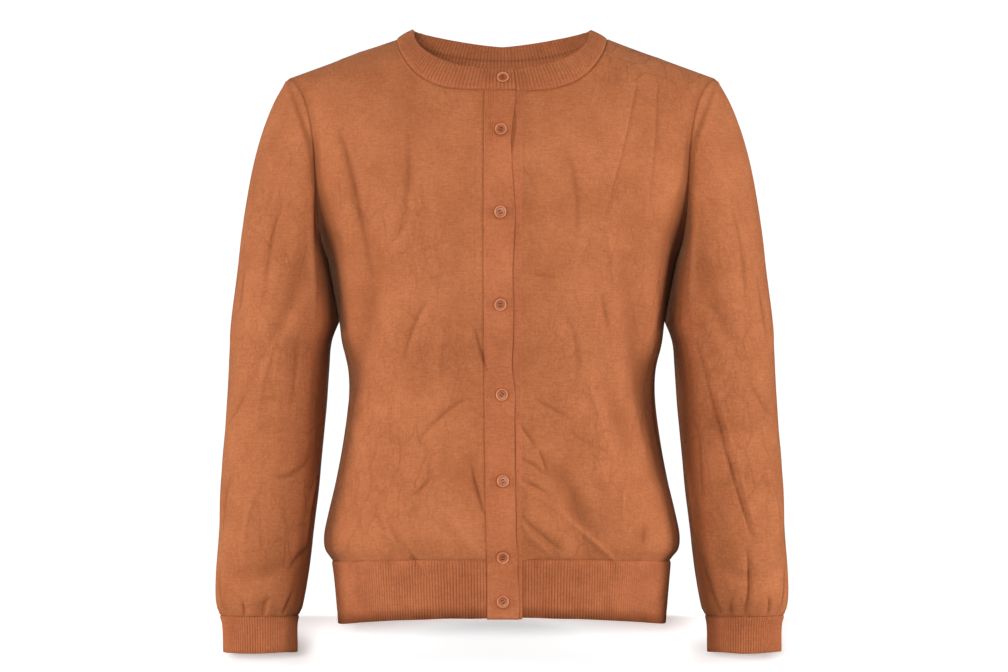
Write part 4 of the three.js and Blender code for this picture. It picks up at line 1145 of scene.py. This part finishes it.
def sleeve_grid():
    """The left sleeve's middle, from armhole to cuff seam, and its map."""
    q = np.arange(SLEEVE_COLUMNS) / SLEEVE_COLUMNS * 2 * ARM_STEPS
    close = np.where(q <= ARM_STEPS, ARM_STEPS * even_part(q / ARM_STEPS),
                     2 * ARM_STEPS - ARM_STEPS * even_part((2 * ARM_STEPS - q) / ARM_STEPS))
    k = CAP_ROWS * np.concatenate([[0, 0.003], np.linspace(0.009, 1, CAP_STEPS)])[:, None]
    j = lerp(close[None], q[None], smoothstep(k / CAP_ROWS))
    turn = j / (2 * ARM_STEPS) * 2 * np.pi
    leave, arrive = cap_slopes(turn)
    cap = hermite(arm_curve(j), leave, sleeve_ring(UNDER_CAP, turn), arrive, (k / CAP_ROWS)[..., None])
    # under the arm the sleeve lies against the body
    side_x, side_z = cap[:, :1, 0], cap[:, :1, 2]
    closer = np.minimum(0, TORSO.at("side", side_z) + WALL + SIDE_GAP - side_x) * smoothstep(k / 0.3)
    lie_on_side(cap, closer, turn)
    z = lerp(UNDER_CAP, CUFF_SEAM, np.append(np.linspace(0, 0.996, TUBE_STEPS)[1:], 1))[:, None]
    turns = (q / (2 * ARM_STEPS) * 2 * np.pi)[None] + 0 * z
    tube = sleeve_ring(z, turns)
    closer = TORSO.at("side", UNDER_CAP) + WALL + SIDE_GAP - SLEEVE.at("inner", UNDER_CAP)
    lie_on_side(tube, closer * smoothstep((z + 244) / 12), turns)
    around = np.degrees(np.concatenate([turn, turns]))
    row = np.concatenate([k, CAP_ROWS + 1 + 0 * z])[:, 0]
    return np.concatenate([cap, tube]), around, row


def sleeve_relief(middle, around, row, creases):
    z = middle[..., 2]
    fold = crease_height(SLEEVE_FOLDS, around, z) * smoothstep(row / 3)[:, None]
    crease = crease_height(creases + HIDDEN_SLEEVE_CREASES, around, z, True) * CREASE_DEPTH
    wrap = np.radians(around)
    u, v = 1.4 * np.cos(wrap), 1.4 * np.sin(wrap)
    slow = 0.9 * soft_noise(u + 8, v + z / 55 + 3, 41) + 0.4 * soft_noise(2.6 * u + 5, 2.6 * v + z / 22, 42)
    down = path_length(middle, 0)
    near_arm = smoothstep(down / 9)
    near_cuff = smoothstep((down[-1:] - down) / 2)
    gather = soft_noise(around / 7, z / 50, 43) + 0.6 * soft_noise(around / 14, z / 60, 44)
    pucker = 1.1 * gather * np.exp(-(down[-1:] - down) / 14) * near_cuff
    arm_gather = 0.35 * soft_noise(around / 5, down / 40, 45) * np.exp(-down / 8) * smoothstep(down / 2)
    edge = smoothstep((down[-1:] - down) / 4)
    total = (fold + (crease + slow) * near_arm) * edge + pucker + arm_gather
    return total, down, crease * near_arm * edge + 1.2 * pucker + 2 * arm_gather


def other_side(*grids):
    return (grid * np.array([-1, 1, 1]) for grid in grids)


def sew_sleeve(side, mirror):
    middle, around, row = sleeve_grid()
    creases = RIGHT_SLEEVE_CREASES if mirror else LEFT_SLEEVE_CREASES
    relief, down, shade = sleeve_relief(middle, around, row, creases)
    away = middle - middle.mean(1, keepdims=True)
    normal = grid_facing(middle, away, True)
    middle = middle + normal * relief[..., None]
    normal = grid_facing(middle, away, True)
    far = np.minimum(down, down[-1:] - down)
    # its first row is tucked in under the body's edge, as a seam allowance is
    middle[0] -= 1.8 * unit(middle[2] - middle[0]) + 1.0 * normal[0]
    outer, inner = walls(middle, normal, far)
    if mirror:
        outer, inner, middle = other_side(outer, inner, middle)
    uv = point(path_length(middle, 1), middle[..., 2] * 1.02)
    # painted light and shade on the creases and gathers, darker along the seams and in the valley beside the
    # body
    shade = shade - RIB_SEAM_SHADE * seam_dip(far) + hollow_shade(middle)
    return shell(f"sleeve_{side}_cloth", outer, inner, True, (1, 4), uv, shade, KNIT)


def sew_cuff(side, mirror):
    ribs, steps = 92, 8
    q = np.arange(ribs * steps) / (ribs * steps) * 2 * np.pi
    v = graded(16, 0.03)[:, None]
    z = lerp(CUFF_SEAM, CUFF_EDGE, v)
    middle = sleeve_ring(z, q[None])
    normal = grid_facing(middle, middle - middle.mean(1, keepdims=True), True)
    seed = 51 if mirror else 61
    wrap = 1.6 * np.cos(q), 1.6 * np.sin(q)
    wave = soft_noise(wrap[0] + 7, wrap[1] + 3, seed)[None] * v ** 2
    swell = soft_noise(2 * wrap[0] + 4, 2 * wrap[1] + 9, seed + 1)[None] * v
    middle = middle + normal * (0.9 * swell)[..., None]
    middle[..., 2] += 0.9 * wave
    far = path_length(middle, 0)
    profile = rib_profile(ribs, steps)[None, :-1]
    outer, inner = walls(middle, normal, far, RIB_RAISE * profile * (1 - 0.5 * np.exp(-far / RIB_CALM)))
    if mirror:
        outer, inner, middle = other_side(outer, inner, middle)
    uv = point(RIB_WIDE * ribs * q / (2 * np.pi), -far)
    # painted shade in the ribs' valleys, at the seam, in the valley beside the body and along the lower edge
    shade = 1.6 * (profile - RIB_MEAN) - RIB_SEAM_SHADE * seam_dip(far) + hollow_shade(middle)
    shade = shade - 1.4 * bell(far[-1:] - far, 3)
    outer, inner, uv, shade = free_edge(outer, inner, uv, shade, -1)
    return shell(f"cuff_{side}_rib", outer, inner, True, (1, 4), uv, shade, RIB)


for side, mirror in (("left", False), ("right", True)):
    pieces[f"sleeve_{side}"] = sew_sleeve(side, mirror)
    pieces[f"cuff_{side}"] = sew_cuff(side, mirror)


# ---- the button bands ----
BAND_TOP = -20  # about where the bands reach the neck seam
BAND_RIB, RIBBED = 2.1, 9.5  # the columns of knit beside the band's seam: one, and all of them
STITCHING = 2.6  # from the free edge to the stitched line
SLIT_HALF = 6.2  # half a buttonhole's length
RING, RING_WIDE = 5.9, 1.2  # the thin ring of painted shadow round a button


def ring_shade(distance):
    return bell(distance - RING, RING_WIDE)


def rounded(distance):
    """A band's share of its thickness near a folded edge."""
    inwards = np.minimum(distance / (BAND_WALL / 2), 1)
    return np.sqrt(np.maximum(0.03, 1 - (1 - inwards) ** 2))


BUTTONS = [
    # x, z, stand over the cloth
    (1.0, -2.2, 0.35),
    (-1.0, -51.8, 0.35),
    (-1.4, -129.7, 0.35),
    (-1.4, -216.0, 0.35),
    (0.0, -301.2, 0.35),
    (1.0, -383.5, 0.35),
    (1.0, -454.4, 0.75),
    (1.0, -496.8, 0.35),
]


def sew_band(name, xs_at, shift, outer_band):
    """A band from hem to neck; the outer one has the free edge, the stitching and the buttonholes."""
    hem_rows, rows, columns = 40, 280, 64
    c = graded(columns, 0.012)
    part = np.concatenate([np.zeros(hem_rows), np.linspace(0, 0.997, rows), [1.0]])
    hem = np.concatenate([np.linspace(0, 1, hem_rows + 1)[:-1], np.ones(rows + 1)])
    tops = neck_place(turn_at(xs_at(BAND_TOP, c)))[1]
    rise = lerp(lerp(HEM_EDGE, HEM_SEAM, hem)[:, None], tops[None], part[:, None])
    x = xs_at(rise, c[None]) + (BAND_DRIFT.at("x", rise) if outer_band else 0)
    angle = front_angle(x, rise)
    middle, normal, base = body_place(angle, rise, shift)
    z = base[..., 2]
    relief = body_relief(base, True)
    over = path_length(middle, 1)
    up = path_length(middle, 0)
    to_edge = over[:, -1:] - over
    relief = relief * smoothstep((up[-1:] - up) / SEAM_CALM)
    far = np.minimum(over, up[-1:] - up)
    wave, lift = EDGE_WAVE.at("x", z), EDGE_WAVE.at("lift", z)
    rings = knit = 0.0
    if outer_band:
        relief = relief + lift * bell(to_edge, 7) * smoothstep((up[-1:] - up) / 6)
        # columns of knit beside the seam, strongest at the top, and a stitched line at the free edge
        strong = 0.3 + 0.7 * smoothstep((z + 84) / 30)
        ribs = 1 - np.abs(2 * ((over / BAND_RIB) % 1) - 1) ** 2 * 1.3
        knit = 0.42 * strong * ribs * (1 - smoothstep((over - RIBBED) / 2))
        knit = knit - 0.16 * bell(to_edge - STITCHING, 0.7)
        # each button presses the band in, over its buttonhole
        for bx, bz, _ in BUTTONS[1:]:
            aside = np.abs(base[..., 0] - bx)
            near = np.hypot(aside, z - bz)
            relief = relief - 0.45 * bell(near, 6.5)
            knit = knit - 0.35 * bell(z - bz, 0.8) * (1 - smoothstep((aside - SLIT_HALF) / 0.8))
            rings = rings + ring_shade(near)
    middle = middle + normal * relief[..., None]
    middle[..., 2] -= 1.8 * np.exp(-up / 14)
    normal = own_facing(middle, normal, far)
    thick = rounded(to_edge)
    dip = seam_dip(far) * (1 if outer_band else 0.25)
    half = BAND_WALL / 2 * thick * rounded(up)
    outer = middle + normal * (half - dip * 0.9 + knit * thick)[..., None]
    inner = middle - normal * (half - 0.6 * dip)[..., None]
    uv = point(over, up)
    if outer_band:
        # painted light and shade on the creases, the knit's columns, the stitched line, the buttonholes and
        # the seam; the free edge turns away and its underside is in shade, and a painted shadow rings each
        # button
        shade = 0.8 * relief + 3 * knit - 1.2 * seam_dip(far)
        shade = shade - (1.6 + 1.6 * lift) * bell(to_edge, 0.9) - 2.4 * rings
    else:
        # shade of the upper band's edge on the band below it
        under = over - (UNDER_SEAM - BAND_EDGE) + wave + BAND_DRIFT.at("x", rise)
        shade = 0.4 + 0.7 * relief - (2.4 + 1.2 * lift) * smoothstep((under + 1.5) / 1.4)
    return shell(name, outer, inner, False, (1, 4), uv, shade, BAND)


def outer_band_x(rise, c):
    return lerp(-BAND_SEAM, BAND_EDGE + EDGE_WAVE.at("x", rise), c)


def under_band_x(rise, c):
    return lerp(UNDER_SEAM, -UNDER_EDGE, c) + 0 * rise


pieces["placket_right"] = sew_band("placket_right_band", outer_band_x, LAP, True)
pieces["placket_left"] = sew_band("placket_left_band", under_band_x, -LAP, False)


# ---- the neckband ----
def neck_top_point(turn, shift):
    front = np.cos(np.radians(turn)) > 0
    half = NECK_TOP["half"] + shift
    x, y = neck_plan(turn, half, NECK_TOP["front"] + shift, NECK_TOP["back"] + shift, front)
    reach = np.minimum(1, np.abs(x) / half)
    ahead = 1 - (1 - reach ** NECK_TOP["round"]) ** (1 / NECK_TOP["round"])
    side = np.where(front, ahead, reach ** NECK_TOP["back_rise"])
    middle_z = np.where(front, NECK_TOP["front_z"], NECK_TOP["back_z"])
    return point(x, y, lerp(middle_z, NECK_TOP["side_z"], side))


def neck_shift(turn, x):
    right = turn > -180
    plain = lap_shift(x, np.cos(np.radians(turn)) > 0)
    return np.where(right, np.where(x >= 0, LAP, plain), np.where(x <= 0, -LAP, plain))


def neck_ends(turn):
    """The neckband's seam and top points; turn runs from the lapped end, right round, to the under end."""
    angle, rise = neck_place(turn)
    x = form_point(angle, rise)[..., 0]
    shift = neck_shift(turn, x)
    low = body_place(angle, rise, shift)[0]
    return low, neck_top_point(turn, shift)


def sew_neckband():
    ribs, steps = 172, 6
    first, last = seam_turn(BAND_EDGE + 0.8), -360 - seam_turn(UNDER_EDGE)
    turns = np.linspace(first, last, 1600)
    low, high = neck_ends(turns)
    length = path_length(((low + high) / 2)[None], 1)[0]
    turn = np.interp(np.arange(ribs * steps + 1) / (ribs * steps) * length[-1], length, turns)
    low, high = neck_ends(turn)
    v = graded(18, 0.04)[:, None, None]
    middle = lerp(low[None], high[None], v)
    away = middle.copy()
    away[..., 1] -= NECK_SEAM["middle"]
    away[..., 2] = 0
    normal = grid_facing(middle, away, False)
    soft = 0.5 * soft_noise(turn / 9 + 40, 0, 71) + 0.25 * soft_noise(turn / 4 + 60, 0, 72)
    height = v[..., 0]
    middle = middle + normal * (soft[None] * height + 0.7 * np.sin(np.pi * height))[..., None]
    far = path_length(middle, 0)
    over = path_length(middle, 1)
    calm = (1 - 0.5 * np.exp(-far / RIB_CALM)) * smoothstep(from_ends(over) / 2)
    profile = rib_profile(ribs, steps)[None]
    relief = RIB_RAISE * profile * calm
    outer, inner = walls(middle, normal, far, relief)
    inner = inner - normal * (relief * 0.9)[..., None]
    uv = point(RIB_WIDE * np.arange(ribs * steps + 1) / steps, far)
    # painted shade in the ribs' valleys and along the seam
    shade = 1.4 * (profile - RIB_MEAN) * calm - RIB_SEAM_SHADE * seam_dip(far)
    # behind it is darker, with a line where the doubled rib is joined; then painted shadow round the button
    # and painted shade at the lapped end
    behind = smoothstep(-np.cos(np.radians(turn)) * 3)[None]
    shade = shade - 2.2 * behind * bell(height - 0.44, 0.06) - 0.4 * behind
    near = np.hypot(middle[..., 0] - BUTTONS[0][0], middle[..., 2] - BUTTONS[0][1] - 2)
    near = np.where(turn[None] > -60, near, NO_SEAM)
    shade = shade - 2.2 * ring_shade(near) - 2.4 * bell(over, 1.0)
    outer, inner, uv, shade = free_edge(outer, inner, uv, shade, -1)
    return shell("neckband_rib", outer, inner, False, (1, 1), uv, shade, RIB)


pieces["neckband"] = sew_neckband()


# ---- the buttons ----
BUTTON = {"radius": 5.75, "rim": 2.5, "dish": 1.5, "bead": 1.1, "hole_at": 1.25, "hole": 0.62}

GLOSS = Nodes("button_gloss")
cloudy = GLOSS.mix(GLOSS.noise(GLOSS.place(), 90), linear(206, 120, 78), linear(230, 150, 108))
# the fold values darken it towards a brown, as painted shade in the dish and on the outer wall
GLOSS.paint(Base_Color=GLOSS.mix(GLOSS.attribute("fold"), cloudy, linear(124, 60, 34)), Roughness=0.38,
            Specular_Tint=(1, 0.72, 0.55, 1), Coat_Weight=0.04, Coat_Roughness=0.12,
            Subsurface_Weight=0.08, Subsurface_Radius=(0.002, 0.001, 0.0006))

THREAD = Nodes("button_thread")
THREAD.paint(Base_Color=(*linear(96, 50, 32), 1), Roughness=0.9)


def turned_mesh(name, profile, sides):
    """A profile of (radius, height) rows turned round +Z; its first and last rows are on the axis."""
    turn = np.arange(sides) / sides * 2 * np.pi
    rings = [point(r * np.cos(turn), r * np.sin(turn), z) for r, z in profile[1:-1]]
    vertices = np.concatenate([*rings, [[0, 0, profile[0][1]], [0, 0, profile[-1][1]]]])
    low, high = len(vertices) - 2, len(vertices) - 1
    last = (len(rings) - 1) * sides
    faces = []
    for i in range(sides):
        k = (i + 1) % sides
        faces.append((low, k, i))
        faces.append((high, last + i, last + k))
        for j in range(len(rings) - 1):
            a, b = j * sides, (j + 1) * sides
            faces.append((a + i, a + k, b + k, b + i))
    return add_object(name, add_mesh(name, vertices.tolist(), faces))


def button_mesh():
    radius, rim, dish, bead = (BUTTON[k] for k in ("radius", "rim", "dish", "bead"))
    under = [(0, 0), (radius - 1.5, 0), (radius - 0.9, 0.06), (radius - 0.35, 0.4), (radius, 0.95)]
    turns = np.radians(np.linspace(0, 180, 11))
    top = radius - bead / 2 - 0.05
    crest = [(top + (bead / 2) * math.cos(a), rim - 0.5 + 0.5 * math.sin(a)) for a in turns]
    floor = [(radius - 1.35, dish + 0.25), (radius - 1.7, dish + 0.06), (radius - 2.4, dish),
             (2.4, dish - 0.04), (0, dish - 0.06)]
    disc = turned_mesh("button_blank", under + crest + floor, 56)
    cut = []
    for sx, sy in ((1, 1), (-1, 1), (-1, -1), (1, -1)):
        hole = turned_mesh("hole", [(0, -2), (BUTTON["hole"], -2), (BUTTON["hole"], 5), (0, 5)], 20)
        hole.location = (sx * BUTTON["hole_at"], sy * BUTTON["hole_at"], 0)
        bite = disc.modifiers.new("hole", "BOOLEAN")
        bite.operation, bite.solver, bite.object = "DIFFERENCE", "EXACT", hole
        cut.append(hole)
    bpy.context.view_layer.update()
    graph = bpy.context.evaluated_depsgraph_get()
    mesh = bpy.data.meshes.new_from_object(disc.evaluated_get(graph))
    for thing in [disc, *cut]:
        bpy.data.objects.remove(thing)
    mesh.name = "button"
    return mesh


def thread_mesh():
    """Four strands over the middle, from hole to hole."""
    vertices, faces = [], []
    rise, thick = BUTTON["dish"] - 0.05, 0.2
    sides, parts = 6, 8
    for offset in (-0.22, 0.22):
        for side in (-1, 1):
            y = side * BUTTON["hole_at"] + offset
            start = len(vertices)
            for s in np.linspace(-1, 1, parts + 1):
                x = s * BUTTON["hole_at"]
                z = rise + 0.42 * (1 - s ** 4) - 0.9 * abs(s) ** 10
                for a in np.arange(sides) / sides * 2 * np.pi:
                    vertices.append((x, y + thick * math.cos(a), z + thick * math.sin(a)))
            for k in range(parts):
                for m in range(sides):
                    a, b = start + sides * k + m, start + sides * k + (m + 1) % sides
                    faces.append((a, b, b + sides, a + sides))
            faces.append(tuple(start + m for m in reversed(range(sides))))
            faces.append(tuple(start + sides * parts + m for m in range(sides)))
    return add_mesh("thread", vertices, faces)


_rises = np.linspace(HEM_EDGE, 0, 261)
_heights = form_point(front_angle(0.0, _rises), _rises)[..., 2]


def button_frame(x, z):
    rise = np.interp([z], _heights, _rises)
    middle, normal, _ = body_place(front_angle(x, rise), rise, LAP)
    return middle[0], normal[0]


def place_part(name, mesh, where, normal, twist, material):
    """A copy of a button's or thread's mesh, set on the cloth and turned about its own axis."""
    mesh = mesh.copy()
    mesh.name = name
    across = unit(np.cross(np.array([0, 0, 1.0]), normal))
    up = np.cross(normal, across)
    c, s = math.cos(twist), math.sin(twist)
    turn = np.stack([c * across + s * up, c * up - s * across, normal], 1)
    flat = np.empty(3 * len(mesh.vertices))
    mesh.vertices.foreach_get("co", flat)
    own = flat.reshape(-1, 3)
    mesh.vertices.foreach_set("co", ((own @ turn.T + where) * MM).ravel())
    # painted shade: the dish and the outer wall are darker than the rim
    outside = np.hypot(own[:, 0], own[:, 1]) > BUTTON["radius"] - 0.5
    dark = np.where(own[:, 2] < BUTTON["rim"] - 0.6, np.where(outside, 1.0, 0.55), 0.0)
    return dress(mesh, name, dark, material, BUTTON_SHARP)


BUTTON_TURNS = (12, -20, 32, 8, -38, 20, -10, 28)
SEATED = 0.45  # how deep a button sinks into the cloth below it
RIB_STANDS = 0.6  # the neckband's rib, over its wall, under the top button
blank, strands = button_mesh(), thread_mesh()
threads = []
for k, ((x, z, stand), degrees) in enumerate(zip(BUTTONS, BUTTON_TURNS), 1):
    where, normal = button_frame(x, z)
    wall = WALL / 2 + RIB_STANDS if k == 1 else BAND_WALL / 2
    seat, twist = where + normal * (wall + stand - SEATED), math.radians(degrees)
    disc = place_part(f"button_{k}_disc", blank, seat, normal, twist, GLOSS.material)
    pieces[f"button_{k}"] = disc
    threads.append(place_part(f"button_{k}_thread", strands, seat, normal, twist, THREAD.material))

# ---- each piece stands for its CAD node ----
for node, piece in pieces.items():
    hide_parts(node)
    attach(piece, "root")
for piece in threads:
    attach(piece, "root")

# ---- white set and soft lights ----
scene = bpy.context.scene
scene.view_settings.view_transform = "Standard"
scene.view_settings.look = "None"

AMBIENT = 0.12  # light from all round, beside what the lamps give
WHITE = 1.05  # what the camera sees behind the garment

world = bpy.data.worlds.new("white")
world.use_nodes = True
tree = world.node_tree
seen = tree.nodes.new("ShaderNodeLightPath")
amount = tree.nodes.new("ShaderNodeMapRange")
tree.links.new(seen.outputs["Is Camera Ray"], amount.inputs["Value"])
amount.inputs["To Min"].default_value = AMBIENT
amount.inputs["To Max"].default_value = WHITE
tree.links.new(amount.outputs[0], tree.nodes["Background"].inputs[1])
tree.nodes["Background"].inputs[0].default_value = (1, 1, 1, 1)
scene.world = world

AIM = Vector((0, 0, -0.3))
for name, place, size, power in (
    ("left_box", (-3.2, -0.7, 0.0), (0.9, 1.4), 60),
    ("right_box", (3.2, -0.7, 0.0), (0.9, 1.4), 76),
    ("front_box", (-0.5, -4.3, -0.01), (1.0, 0.42), 120),
    ("top_box", (-0.6, -2.6, 2.0), (1.0, 0.8), 4),
    ("back_box", (0.4, 4.3, 0.2), (1.2, 0.8), 90),
):
    light = bpy.data.lights.new(name, "AREA")
    light.shape = "RECTANGLE"
    light.size, light.size_y = size
    light.energy = power
    lamp = add_object(name, light)
    lamp.location = place
    lamp.rotation_euler = (AIM - Vector(place)).to_track_quat("-Z", "Y").to_euler()

# a small white ramp under the garment, no higher than its hem; it carries the soft shadow there, partly cast
# by the lamps and partly painted into its glow
SWEEP_LOW, SWEEP_SLOPE = -0.571, math.tan(math.radians(20))
SIDE, NEAR, FAR = 0.44, -0.5, 0.139
outline = ((-SIDE, NEAR), (SIDE, NEAR), (SIDE, FAR), (-SIDE, FAR))
corners = [(x, y, SWEEP_LOW + y * SWEEP_SLOPE) for x, y in outline]
sweep = add_object("sweep", add_mesh("sweep", corners, [(0, 1, 2, 3)]))
white = Nodes("white_sweep")
# its glow grows brighter towards its edges, up to the white round it
across, back, _ = white.split(white.place())
aside = white.math("ABSOLUTE", across)
beyond = white.math("MAXIMUM", white.ramp(back, 0.116, 0.138, 0.0, 1.0),
                    white.ramp(aside, 0.31, 0.42, 0.0, 1.0))
# painted soft shadows, taken out of its glow, close under the hem and under the two cuffs
hem_shade = white.times(white.ramp(back, 0.062, 0.125, 0.0, 1.0), white.ramp(aside, 0.05, 0.15, 0.22, 0.38),
                        white.ramp(aside, 0.15, 0.24, 1.0, 0.0), white.ramp(back, 0.126, 0.138, 1.0, 0.0))
cuff_shade = white.times(white.ramp(back, -0.005, 0.045, 0.0, 0.45), white.ramp(back, 0.05, 0.1, 1.0, 0.0),
                         white.ramp(aside, 0.165, 0.205, 0.0, 1.0), white.ramp(aside, 0.255, 0.285, 1.0, 0.0))
glow = white.math("SUBTRACT", white.ramp(beyond, 0.0, 1.0, 0.64, 1.3), hem_shade)
white.paint(Base_Color=(1, 1, 1, 1), Roughness=1.0, Specular_IOR_Level=0.0, Emission_Color=(1, 1, 1, 1),
            Emission_Strength=white.math("SUBTRACT", glow, cuff_shade))
sweep.data.materials.append(white.material)
sweep.visible_diffuse = False
sweep.visible_glossy = False
sweep.visible_shadow = False

CAMERA_PLACE, LENS, SENSOR = (0.002, -4.0, -0.246), 147.3, 36
camera = add_object("camera", bpy.data.cameras.new("camera"))
camera.location = CAMERA_PLACE
camera.rotation_euler = (math.radians(90), 0, 0)
camera.data.sensor_width = SENSOR
camera.data.lens = LENS
scene.camera = camera
